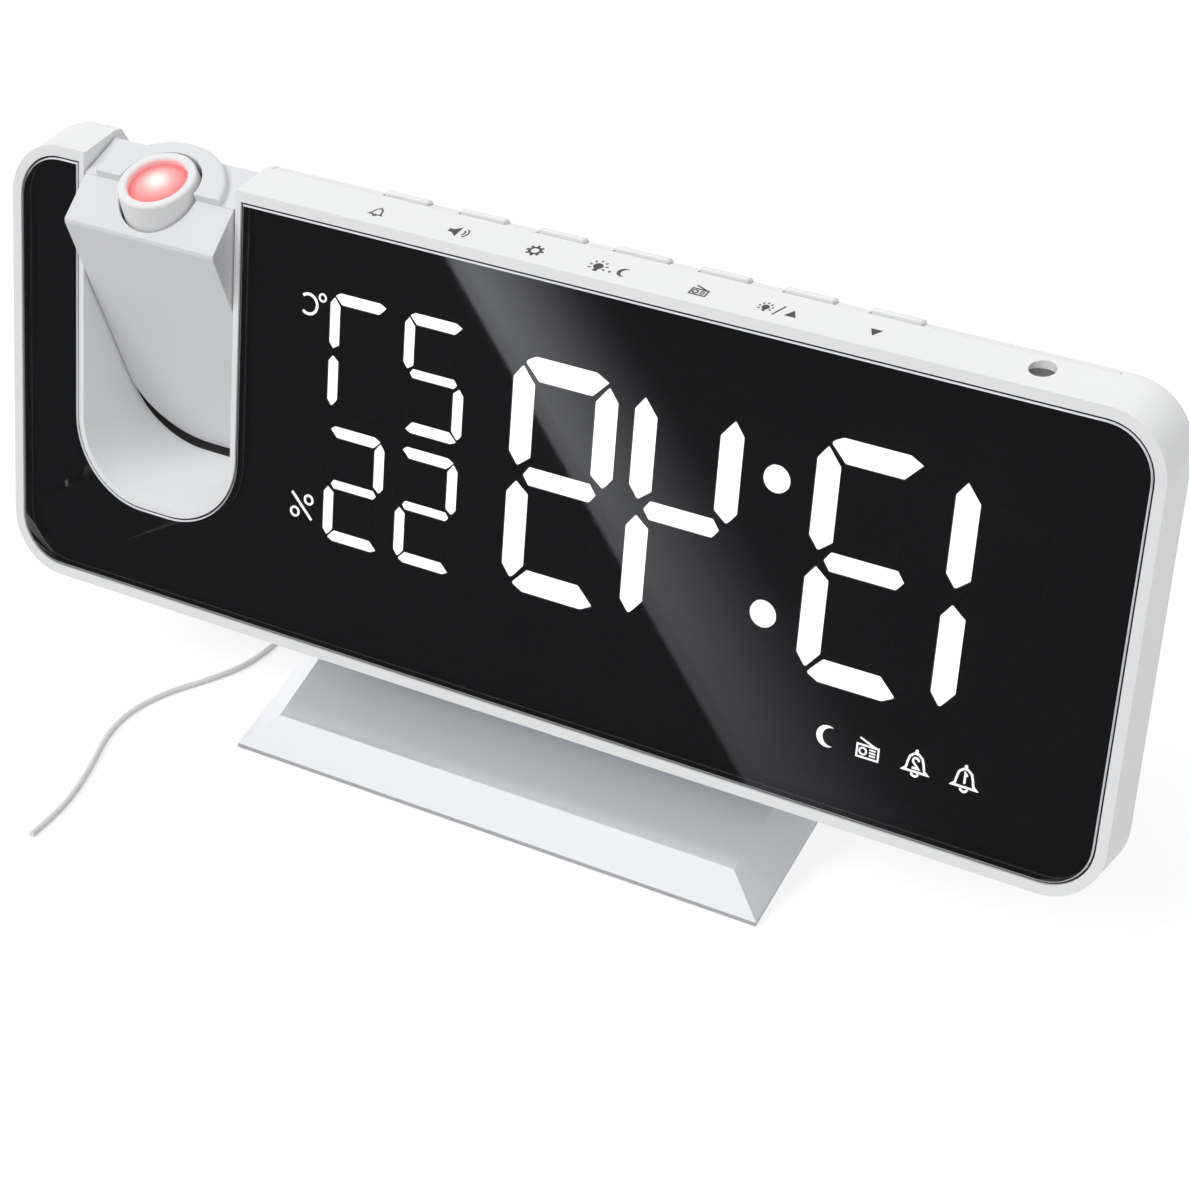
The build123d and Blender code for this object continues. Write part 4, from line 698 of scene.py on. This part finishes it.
def roundEdges(piece, width):
    # small rounds on the sharp edges, then a plain mesh again
    piece.data.polygons.foreach_set("use_smooth", [True] * len(piece.data.polygons))
    edge = piece.modifiers.new("edge", "BEVEL")
    edge.width = width / 1000
    edge.segments = smoothing["segments"]
    edge.limit_method = "ANGLE"
    edge.angle_limit = math.radians(smoothing["sharp"])
    edge.miter_outer = "MITER_ARC"
    settle = piece.modifiers.new("settle", "WEIGHTED_NORMAL")
    settle.mode = "FACE_AREA"
    settle.weight = smoothing["settle"]
    settleModifiers(piece)


def copyNode(name, nodeName):
    # a node's mesh under a new name, and a working one with its seams closed
    mesh = nodes[nodeName].data.copy()
    mesh.name = name
    work = bmesh.new()
    work.from_mesh(mesh)
    bmesh.ops.remove_doubles(work, verts=work.verts, dist=smoothing["merge"] / 1000)
    return mesh, work


def soften(name, nodeName, bodyName, width):
    mesh, work = copyNode(name, nodeName)
    if name.endswith("Key"):
        slopeKey(work)
    flat = math.radians(smoothing["flat"])
    bmesh.ops.dissolve_limit(work, angle_limit=flat, verts=work.verts, edges=work.edges)
    work.to_mesh(mesh)
    work.free()
    piece = addPiece(name, mesh)
    roundEdges(piece, width)
    paint(piece, finishes[slotOf[nodeName]])
    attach(piece, bodyName)
    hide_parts(nodeName)
    return piece


softened = {name: soften(name, *row) for name, row in softEdges.items()}
paint(softened["focusRing"], ringFinish)
print("mouldings softened:", sum(len(piece.data.polygons) for piece in softened.values()), "faces")

# foot: a low roof of silver paint whose ends overhang the base, and the neck on it
foot = {
    "front": -22.55, "frontRidge": -18.7, "backRidge": 18.7, "back": 22.55,
    "floor": 0.5, "lip": 0.7, "ridgeHigh": 6.2, "topHigh": 12.6, "eaveHigh": 7.67,
    "frontHalf": 46.3, "frontRidgeHalf": 40.5, "topHalf": 41.2, "eaveHalf": 46.2,
    "backHalf": 43.5, "backRidgeHalf": 38.0, "keelHalf": 41.0,
    "hollowFront": (40.45, -18.1), "hollowMiddle": (38.0, 0.0), "hollowBack": (35.6, 18.1), "hollowHigh": 4.6,
    "round": 0.28, "hatchHalf": 42.8, "hatchFront": -1.3, "hatchMiddle": 15, "hatchCut": (20, 40, 40),
}
neck = {
    "half": 30.0, "sunk": 8.0, "steps": 8,
    "front": [(-7.0, 10.15), (-4.9, 11.3), (-4.45, 16.5)],
    "back": [(2.85, 19.14), (3.6, 11.8), (8.5, 9.6)],
}


def bend(points, steps):
    # quadratic curve through its first and last point
    def at(a, b, c, t):
        return (1 - t) ** 2 * a + 2 * t * (1 - t) * b + t * t * c

    forward, upward = zip(*points)
    return [(at(*forward, k / steps), at(*upward, k / steps)) for k in range(steps + 1)]


def footRoof():
    work = bmesh.new()
    f = foot

    def pair(half, y, z):
        return [work.verts.new((side * half / 1000, y / 1000, z / 1000)) for side in (-1, 1)]

    low, lipHigh = f["floor"], f["floor"] + f["lip"]
    frontLow, frontHigh = (pair(f["frontHalf"], f["front"], z) for z in (low, lipHigh))
    frontRidge = pair(f["frontRidgeHalf"], f["frontRidge"], f["ridgeHigh"])
    top = pair(f["topHalf"], 0, f["topHigh"])
    eaveLow, eaveHigh = (pair(f["eaveHalf"], 0, f["eaveHigh"] + rise) for rise in (0, f["lip"]))
    backRidge = pair(f["backRidgeHalf"], f["backRidge"], f["ridgeHigh"])
    keel = pair(f["keelHalf"], 0, low)
    backLow, backHigh = (pair(f["backHalf"], f["back"], z) for z in (low, lipHigh))
    corners = (f["hollowFront"], f["hollowMiddle"], f["hollowBack"])
    hollow = [[pair(*corner, z) for z in (low, f["hollowHigh"])] for corner in corners]

    rows = [frontLow, frontHigh, frontRidge, top, backRidge, backHigh, backLow, hollow[2][0], hollow[2][1]]
    lips = []
    for first, second in zip(rows, rows[1:]):
        band = work.faces.new((first[0], first[1], second[1], second[0]))
        if first is frontLow or first is backHigh:
            lips.append(band)
    work.faces.new((frontLow[1], frontLow[0], hollow[0][0][0], hollow[0][0][1]))
    work.faces.new((hollow[0][0][1], hollow[0][0][0], hollow[0][1][0], hollow[0][1][1]))
    ceiling = [pairs[1] for pairs in hollow]
    work.faces.new([row[0] for row in ceiling] + [row[1] for row in ceiling[::-1]])
    for side in (0, 1):
        inner, upper = ([pairs[level][side] for pairs in hollow] for level in (0, 1))
        loops = [
            (frontLow, eaveLow, eaveHigh, frontHigh), (eaveLow, backLow, backHigh, eaveHigh),
            (frontHigh, eaveHigh, top, frontRidge), (eaveHigh, backHigh, backRidge, top),
            (frontLow, keel, eaveLow), (keel, backLow, eaveLow),
        ]
        made = [work.faces.new([row[side] for row in loop]) for loop in loops]
        lips += made[:2]
        work.faces.new((frontLow[side], keel[side], inner[1], inner[0]))
        work.faces.new((keel[side], backLow[side], inner[2], inner[1]))
        for k in (0, 1):
            work.faces.new((inner[k], inner[k + 1], upper[k + 1], upper[k]))
    bmesh.ops.recalc_face_normals(work, faces=work.faces)
    # the lips take the darker grey of painted shade
    for band in lips:
        band.material_index = 1
    return closeMesh(work, "footRoof", [finishes["foot_silver"], lipShadeFinish])


def neckBlock():
    outline = bend(neck["front"], neck["steps"]) + bend(neck["back"], neck["steps"])
    outline += [(neck["back"][-1][0], neck["sunk"]), (neck["front"][0][0], neck["sunk"])]
    work = bmesh.new()
    ends = []
    for side in (-1, 1):
        ends.append([work.verts.new((side * neck["half"] / 1000, y / 1000, z / 1000)) for y, z in outline])
    for end in ends:
        work.faces.new(end)
    for i in range(len(outline)):
        j = (i + 1) % len(outline)
        work.faces.new((ends[0][i], ends[0][j], ends[1][j], ends[1][i]))
    bmesh.ops.recalc_face_normals(work, faces=work.faces)
    return closeMesh(work, "footNeck", [finishes["foot_silver"]])


def hatchRoom():
    # what the open battery hatch needs beside the foot, cut from both ends alike
    work = bmesh.new()
    long, wide, high = foot["hatchCut"]
    size = Matrix.Diagonal((long / 1000, wide / 1000, high / 1000, 1))
    for side in (-1, 1):
        middle = (side * (foot["hatchHalf"] + long / 2), foot["hatchFront"] + wide / 2, foot["hatchMiddle"])
        place = Matrix.Translation(Vector(middle) / 1000)
        bmesh.ops.create_cube(work, size=1, matrix=place @ size)
    return closeMesh(work, "hatchRoom", [finishes["foot_silver"]])


def shapeFoot():
    piece = addPiece("footShell", footRoof())
    tools = [addPiece(mesh.name, mesh) for mesh in (neckBlock(), hatchRoom())]
    for tool, operation in zip(tools, ("UNION", "DIFFERENCE")):
        step = piece.modifiers.new(tool.name, "BOOLEAN")
        step.operation = operation
        step.solver = "EXACT"
        step.object = tool
    settleModifiers(piece)
    for tool in tools:
        bpy.data.objects.remove(tool)
    roundEdges(piece, foot["round"])
    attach(piece, "clock")
    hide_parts("foot_shell")
    return piece


footShell = shapeFoot()
print("foot made:", len(footShell.data.polygons), "faces")

# glass: the sheet with its bevel in a painted highlight, and a black strip in the gap round it as painted
# shade
# a thin black strip in the gap between glass and bezel: painted shade for the gap
gapShade = {"outset": 0.15, "thick": 0.1, "near": -0.42, "far": -1.9}
bevelFacing = (0.2, 0.97)
notch = {"middle": -66.6, "half": 15.4, "low": 13.0, "round": 12.5}
arcSteps = 14
cornerSteps = 12


def glassOutline(inset):
    # outline of the sheet with its notch, drawn in by a margin
    i, r = inset, body["glassRound"] - inset
    wide, high = body["glassWide"] / 2 - i, body["glassHigh"] - i
    half, turn = notch["half"] + i, notch["round"] + i
    left, right, low = notch["middle"] - half, notch["middle"] + half, notch["low"] - i
    points = cornerPoints(-wide + r, i + r, r, 180) + cornerPoints(wide - r, i + r, r, 270)
    points += cornerPoints(wide - r, high - r, r, 0)
    points += [(right, high)]
    points += roundPoints(right - turn, low + turn, turn, 0, -90, arcSteps)
    points += roundPoints(left + turn, low + turn, turn, 270, 180, arcSteps)
    points += [(left, high)]
    return points + cornerPoints(-wide + r, high - r, r, 90)


def cornerPoints(x, y, radius, start):
    return roundPoints(x, y, radius, start, start + 90, cornerSteps)


def flatCurve(name, outlines, filled, thick):
    curve = bpy.data.curves.new(name, "CURVE")
    curve.dimensions = "2D"
    curve.fill_mode = "BOTH" if filled else "NONE"
    for points in outlines:
        spline = curve.splines.new("POLY")
        spline.points.add(len(points) - 1)
        for point, (x, y) in zip(spline.points, points):
            point.co = (x, y, 0, 1)
        spline.use_cyclic_u = True
    curve.extrude = thick / 2
    piece = addPiece(name, curve)
    mesh = plainMesh(piece, name)
    bpy.data.objects.remove(piece)
    return mesh


def layerOnGlass(name, outlines, filled, layer):
    # between two depths along the glass's normal
    mesh = flatCurve(name, outlines, filled, layer["near"] - layer["far"])
    mesh.transform(glassPlace @ Matrix.Translation((0, 0, (layer["near"] + layer["far"]) / 2)))
    return addPiece(name, mesh)


def layGapShade():
    piece = layerOnGlass("glassGapShade", [glassOutline(-gapShade["outset"])], False, gapShade)
    wall = piece.modifiers.new("wall", "SOLIDIFY")
    wall.thickness = gapShade["thick"] / 1000
    wall.offset = 0
    settleModifiers(piece)
    # black, as painted shade in the gap
    paint(piece, maskAndGapShadeFinish)
    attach(piece, "clock")


def bevelGlass():
    # the sheet again, with its narrow bevel in a pale finish of its own: a painted highlight
    mesh, work = copyNode("displaySheet", "display_panel")
    mesh.materials.clear()
    mesh.materials.append(finishes["smoked_panel"])
    mesh.materials.append(bevelHighlightFinish)
    work.normal_update()
    # the bevel's faces take the painted highlight
    steep, level = bevelFacing
    for face in work.faces:
        facing = face.normal.dot(towardViewer)
        face.material_index = 1 if steep < facing < level else 0
    work.to_mesh(mesh)
    work.free()
    piece = addPiece("displaySheet", mesh)
    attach(piece, "clock")
    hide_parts("display_panel")


layGapShade()
bevelGlass()
print("glass and gasket made")

# black strip on the rear lip of the slot, where the arm's tail passes: painted shade for the dark gap there
slotShade = {
    "half": 14.3, "low": 15.1, "round": 11.7, "slope": 0.25, "sunk": 0.02, "thick": 0.06,
    "front": 16.3, "level": 19.3, "rise": 0.35, "back": 19.1, "top": 24.0,
}


def slotOutline(inset):
    # the slot's U at the glass face, drawn in by a margin
    half, turn, low = slotShade["half"] - inset, slotShade["round"] - inset, slotShade["low"] + inset
    points = [(-half, slotShade["top"])] + roundPoints(turn - half, low + turn, turn, 180, 270, arcSteps)
    points += roundPoints(half - turn, low + turn, turn, 270, 360, arcSteps)
    return points + [(half, slotShade["top"])]


def laySlotShade():
    work = bmesh.new()
    slope, rise = slotShade["slope"], slotShade["rise"]

    def row(outline, depths):
        spots = [onClock(notch["middle"] + u, v + slope * d, d) for (u, v), d in zip(outline, depths)]
        return [work.verts.new(spot) for spot in spots]

    rows = []
    for inset in (-slotShade["sunk"], slotShade["thick"]):
        outline = slotOutline(inset)
        near = [(slotShade["front"] - rise * (v - slotShade["level"])) / (1 + rise * slope) for u, v in outline]
        rows += [row(outline, near), row(outline, [slotShade["back"]] * len(outline))]
    outerNear, outerFar, innerNear, innerFar = rows
    loop = (outerNear, outerFar, innerFar, innerNear)
    for first, second in zip(loop, loop[1:] + loop[:1]):
        for k in range(len(first) - 1):
            work.faces.new((first[k], first[k + 1], second[k + 1], second[k]))
    for end in (0, -1):
        work.faces.new([row[end] for row in loop])
    bmesh.ops.recalc_face_normals(work, faces=work.faces)
    # black rubber here stands in for the gap's shade
    piece = addPiece("slotShadeStrip", closeMesh(work, "slotShadeStrip", [finishes["rubber_black"]]))
    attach(piece, "clock")


laySlotShade()
print("flock laid in the slot")

# small things that repeat, made by Geometry Nodes on rows of points
cross = {"long": 2.3, "wide": 0.5, "high": 0.06}
caseScrews = {"deep": 16.70, "at": [(-86.7, 14.0), (-86.7, 61.0), (87.2, 16.0), (87.2, 52.0)]}
ribs = {
    "count": 7, "pitch": 1.5, "long": 13.0, "wide": 0.6, "high": 0.34, "from": (55.6, 27.4), "deep": 18.42,
}


def barTree(name, arms):
    # one bar, or two crossed bars, on every point of the piece
    kinds = {
        "Points": "Geometry", "Long": "Float", "Wide": "Float", "High": "Float",
        "Turn": "Vector", "Finish": "Material",
    }
    tree, value, sockets = openTree(name, kinds, "Bars")
    join = tree.nodes.new("GeometryNodeJoinGeometry")
    for k in range(arms):
        sides = (value["Long"], value["Wide"]) if k == 0 else (value["Wide"], value["Long"])
        size = addNode(tree, "ShaderNodeCombineXYZ", None, {0: sides[0], 1: sides[1], 2: value["High"]})
        bar = addNode(tree, "GeometryNodeMeshCube", None, {
            "Size": size, "Vertices X": 2, "Vertices Y": 2, "Vertices Z": 2})
        tree.links.new(bar.socket, join.inputs[0])
    spread = addNode(tree, "GeometryNodeInstanceOnPoints", None, {
        "Points": value["Points"], "Instance": Signal(tree, join.outputs[0]), "Rotation": value["Turn"]})
    real = addNode(tree, "GeometryNodeRealizeInstances", None, {"Geometry": spread})
    dressed = addNode(tree, "GeometryNodeSetMaterial", None, {"Geometry": real, "Material": value["Finish"]})
    addNode(tree, "NodeGroupOutput", None, {"Bars": dressed})
    return tree, sockets


def setBars(name, points, sizes, turn, arms, finish, bodyName):
    mesh = bpy.data.meshes.new(name)
    mesh.from_pydata([tuple(point) for point in points], [], [])
    piece = addPiece(name, mesh)
    given = {label: sizes[label.lower()] / 1000 for label in ("Long", "Wide", "High")}
    growFrom(piece, *barTree(name, arms), {**given, "Turn": turn, "Finish": finish})
    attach(piece, bodyName)


def addSmallThings():
    leanTurn = (math.radians(90 - body["lean"]), 0, 0)
    heads = [onClock(u, up, caseScrews["deep"]) for u, up in caseScrews["at"]]
    # raised black crosses on the screw heads stand in for the recesses' shade
    setBars("screwCrosses", heads, cross, leanTurn, 2, recessShadeFinish, "clock")
    u, up = ribs["from"]
    rows = [onClock(u, up - k * ribs["pitch"], ribs["deep"]) for k in range(ribs["count"])]
    setBars("hatchRibs", rows, ribs, leanTurn, 1, finishes["shell_white"], "hatch")


addSmallThings()
print("small things set")

# printed signs, in mm from the foot of the top strip
ink = {
    "line": 0.26, "low": 0.004, "high": 0.02,
    "bell": (-29.2, 2.8, 1.15), "speaker": (-15.0, 2.8), "waves": (0.75, 1.35),
    "gear": (-2.4, 2.8), "gearRing": (0.82, 0.4), "teeth": 8, "tooth": (0.95, 1.38, 0.42),
    "lamp": (8.0, 2.6, 1.45), "dot": (10.2, 2.1, 0.22), "moon": (12.2, 2.7, 1.05), "radio": (24.2, 2.7, 1.3),
    "smallLamp": (34.4, 2.7, 1.1), "stroke": [(36.0, 1.5), (36.9, 4.1)],
    "upArrow": (38.5, 2.0, 1.6), "downArrow": (50.7, 3.9, -1.6), "arrowHalf": 0.9,
}


def bellShape(drawing, x, y, size, width):
    side = [(-0.92, -0.62), (-0.7, -0.42), (-0.6, 0.1), (-0.48, 0.5), (-0.2, 0.74), (0, 0.8)]
    outline = side + [(-a, b) for a, b in side[-2::-1]]
    drawing.band([(x + a * size, y + b * size) for a, b in outline], width, True)
    drawing.arc(x, y - 0.72 * size, 0.26 * size, 190, 350, width)
    drawing.disc(x, y + 0.98 * size, 0.13 * size, 12)


def moonShape(drawing, x, y, size):
    outer = roundPoints(x, y, size, 60, 300, 24)
    inner = roundPoints(x + 0.42 * size, y, 0.87 * size, 277, 83, 20)
    drawing.fill(outer + inner[1:-1])


def sunLamp(drawing, x, y, size, width):
    drawing.disc(x, y + 0.14 * size, 0.52 * size)
    socket = ((-0.24, -0.3), (0.24, -0.3), (0.22, -0.78), (-0.22, -0.78))
    drawing.fill([(x + a * size, y + b * size) for a, b in socket])
    for turn in (-30, 10, 50, 90, 130, 170, 210):
        a = math.radians(turn)
        points = [(x + r * size * math.cos(a), y + (r * math.sin(a) + 0.14) * size) for r in (0.74, 1.06)]
        drawing.band(points, width)


def radioShape(drawing, x, y, size, width):
    def at(a, b):
        return (x - a * size, y + b * size)

    drawing.band([at(-0.95, 0.4), at(0.95, 0.4), at(0.95, -0.7), at(-0.95, -0.7)], width, True)
    drawing.band([at(-0.7, 0.42), at(0.75, 1.0)], width)
    drawing.arc(*at(0.42, -0.15), 0.3 * size, 0, 360, width)
    for k in (0.12, -0.14, -0.4):
        drawing.band([at(-0.7, k), at(-0.15, k)], width * 0.8)


def printStrip():
    signs = Drawing()
    w = ink["line"]
    bellShape(signs, *ink["bell"], w)
    x, y = ink["speaker"]
    horn = ((-1.9, 0.4), (-1.2, 0.4), (-0.2, 1.3), (-0.2, -1.3), (-1.2, -0.4), (-1.9, -0.4))
    signs.fill([(x + a, y + b) for a, b in horn])
    for radius in ink["waves"]:
        signs.arc(x, y, radius, -50, 50, w)
    x, y = ink["gear"]
    ring, thick = ink["gearRing"]
    signs.arc(x, y, ring, 0, 360, thick)
    root, tip, wide = ink["tooth"]
    for k in range(ink["teeth"]):
        a = math.radians(360 / ink["teeth"] * k)
        signs.band([(x + r * math.cos(a), y + r * math.sin(a)) for r in (root, tip)], wide)
    sunLamp(signs, *ink["lamp"], w)
    signs.disc(*ink["dot"], 14)
    moonShape(signs, *ink["moon"])
    radioShape(signs, *ink["radio"], w)
    sunLamp(signs, *ink["smallLamp"], w)
    signs.band(ink["stroke"], w)
    for x, y, high in (ink["upArrow"], ink["downArrow"]):
        signs.fill([(x - ink["arrowHalf"], y), (x + ink["arrowHalf"], y), (x, y + high)])
    raiseDrawing("stripSigns", signs, stripPlace, ink["low"], ink["high"], inkFinish, "clock")


printStrip()

# lit signs behind the glass
sign = {
    "line": 0.42, "near": -2.2, "far": -2.26, "bellLine": 0.32, "numberLine": 0.3, "radioLine": 0.26,
    "letter": (-40.1, 54.3, 1.55), "degree": (-37.6, 55.8, 0.57), "degreeLine": 0.28,
    "slash": [(-42.0, 23.6), (-38.3, 19.7)], "rings": [(-38.9, 22.9), (-41.4, 20.4)], "ring": (0.72, 0.34),
    "moon": (51.2, 10.6, 1.7), "radio": (57.6, 10.3, 1.75), "bells": [(65.0, 2), (72.5, 1)],
    "bellUp": 10.6, "bellSize": 2.0,
    "one": [(0.35, 0.5), (0, 0.9), (0, -0.7)], "two": (0.45, 0.45), "twoFoot": [(0.45, -0.7), (-0.5, -0.7)],
}


def lightSigns():
    signs = Drawing()
    w = sign["line"]
    # degrees Celsius, mirrored like the digits
    signs.arc(*sign["letter"], -130, 130, w)
    signs.arc(*sign["degree"], 0, 360, sign["degreeLine"], 16)
    # per cent
    signs.band(sign["slash"], w)
    for x, y in sign["rings"]:
        signs.arc(x, y, sign["ring"][0], 0, 360, sign["ring"][1], 18)
    moonShape(signs, *sign["moon"])
    radioShape(signs, *sign["radio"], sign["radioLine"])
    y = sign["bellUp"]
    for x, number in sign["bells"]:
        bellShape(signs, x, y, sign["bellSize"], sign["bellLine"])
        up, radius = sign["two"]
        line = sign["one"] if number == 1 else roundPoints(0, up, radius, 0, 220, 10) + sign["twoFoot"]
        signs.band([(x + a, y + b) for a, b in line], sign["numberLine"])
    raiseDrawing("litSigns", signs, glassPlace, sign["far"], sign["near"], signFinish, "clock")


lightSigns()

# black print on the back of the glass, round the display window
mask = {"near": -2.03, "far": -2.08, "inset": 0.1, "left": -43.6, "right": 83.6, "low": 4.4, "high": 60.2}


def maskGlass():
    # the sheet's outline, and the window inside it
    left, right, low, high = (mask[side] for side in ("left", "right", "low", "high"))
    window = [(left, low), (right, low), (right, high), (left, high)]
    piece = layerOnGlass("glassMask", [glassOutline(mask["inset"]), window], True, mask)
    paint(piece, maskAndGapShadeFinish)
    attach(piece, "clock")


maskGlass()
print("signs and mask made")

# floor, lamps and sky
room = {
    "floor": (0.66, 0.66, 0.66), "speckleScale": 9, "speckleShade": 0.99, "floorLift": 0.52, "floorHalf": 4,
    "skyTop": 0.80, "skySide": 0.10, "skyBand": 0.9,
    "key": {"from": (-0.35, -0.62, 0.66), "power": 1.35, "soft": 40, "mirrored": False},
    "fill": {"from": (0.70, -0.60, 0.45), "power": 0.25, "soft": 60, "mirrored": True},
    "back": {"from": (0.10, 0.80, 0.60), "power": 0.20, "soft": 50, "mirrored": True},
}


def seenBackdrop(tree):
    # 1 where the eye, or a mirrored or a refracted ray, looks at it
    seen = None
    for name in ("Is Transmission Ray", "Is Glossy Ray", "Is Camera Ray"):
        ray = addNode(tree, "ShaderNodeLightPath", None, None, name)
        seen = ray if seen is None else ray.maths("MAXIMUM", ray, seen)
    return seen


def stageSheet(name, corners, finish):
    mesh = bpy.data.meshes.new(name)
    mesh.from_pydata(corners, [], [(0, 1, 2, 3)])
    mesh.materials.append(finish)
    piece = addPiece(name, mesh)
    return piece


def layFloor():
    finish, tree, spot = startFinish("paleFloor")
    speckle = cloud(tree, spot, room["speckleScale"])
    seen = seenBackdrop(tree)
    dim = tuple(c * room["speckleShade"] for c in room["floor"])
    closeFinish(tree, {
        "Base Color": mixColour(tree, speckle, room["floor"], dim),
        "Roughness": 0.85,
        "Specular IOR Level": 0.1,
        "Emission Color": (1, 1, 1, 1),
        "Emission Strength": seen * room["floorLift"],
    })
    far = room["floorHalf"]
    stageSheet("floor", [(-far, -far, 0), (far, -far, 0), (far, far, 0), (-far, far, 0)], finish)


def lightSky():
    world = bpy.data.worlds.new("sky")
    scene.world = world
    world.use_nodes = True
    tree = world.node_tree
    tree.nodes.clear()
    seen = seenBackdrop(tree)
    spot = addNode(tree, "ShaderNodeTexCoord", None, None, "Generated")
    height = addNode(tree, "ShaderNodeSeparateXYZ", None, {0: spot}, 2)
    rise = addNode(tree, "ShaderNodeMapRange", {"interpolation_type": "SMOOTHSTEP"}, {
        0: height, 1: 0.0, 2: room["skyBand"], 3: room["skySide"], 4: room["skyTop"]})
    glow = addNode(tree, "ShaderNodeBackground", None, {0: (1, 1, 1, 1), 1: rise * (1 - seen) + seen})
    addNode(tree, "ShaderNodeOutputWorld", None, {"Surface": glow})


def hangLamp(name):
    lamp = room[name]
    data = bpy.data.lights.new(name, "SUN")
    data.energy = lamp["power"]
    data.angle = math.radians(lamp["soft"])
    piece = addPiece(name, data)
    piece.rotation_euler = Vector(lamp["from"]).to_track_quat("Z", "Y").to_euler()
    piece.visible_glossy = lamp["mirrored"]


layFloor()
lightSky()
for lampName in ("key", "fill", "back"):
    hangLamp(lampName)

# studio card that the glass mirrors: dark, with a softbox edge across it
card = {
    "foot": (24, -54, 4), "slope": 0.45, "near": -50, "far": -420, "left": -420, "right": 200,
    "edgeLow": (24, -54), "edgeHigh": (-106, -160), "edgeSoft": 0.4, "fade": 27, "fadePower": 1.4,
    "bright": 5.0, "dark": 0.25, "lowShare": 0.26, "fullAt": 0.9, "tint": (0.93, 0.95, 1.0),
}


def hangCard():
    finish, tree, spot = startFinish("studioCard")
    low, high = Vector(card["edgeLow"]), Vector(card["edgeHigh"])
    along = (high - low).normalized()
    right = Vector((-along.y, along.x))
    if right.x < 0:
        right = -right
    parts = [addNode(tree, "ShaderNodeSeparateXYZ", None, {0: spot}, k) for k in (0, 1)]
    off = ((parts[0] * 1000 - low.x) * right.x + (parts[1] * 1000 - low.y) * right.y)
    soft = card["edgeSoft"]
    step = addNode(tree, "ShaderNodeMapRange", None, {0: off, 1: -soft, 2: soft, 3: 0.0, 4: 1.0})
    fall = addNode(tree, "ShaderNodeMapRange", {"interpolation_type": "SMOOTHSTEP"}, {
        0: off, 1: 0.0, 2: card["fade"], 3: 1.0, 4: 0.0})
    far = ((parts[0] * 1000 - low.x) * along.x + (parts[1] * 1000 - low.y) * along.y) / (high - low).length
    swell = addNode(tree, "ShaderNodeMapRange", None, {
        0: far, 1: 0.0, 2: card["fullAt"], 3: card["lowShare"], 4: 1.0})
    light = step * fall ** card["fadePower"] * swell * card["bright"]
    glow = addNode(tree, "ShaderNodeEmission", None, {0: (*card["tint"], 1), 1: card["dark"] + light})
    addNode(tree, "ShaderNodeOutputMaterial", None, {"Surface": glow})
    finish.cycles.emission_sampling = "NONE"
    corners = []
    for x, y in (("left", "near"), ("right", "near"), ("right", "far"), ("left", "far")):
        z = card["foot"][2] + card["slope"] * (card["foot"][1] - card[y])
        corners.append((card[x] / 1000, card[y] / 1000, z / 1000))
    piece = stageSheet("studioCard", corners, finish)
    piece.visible_camera = False
    piece.visible_diffuse = False
    piece.visible_shadow = False
    piece.visible_transmission = False


hangCard()
scene.view_settings.view_transform = "Standard"
print("floor, lamps and card set")
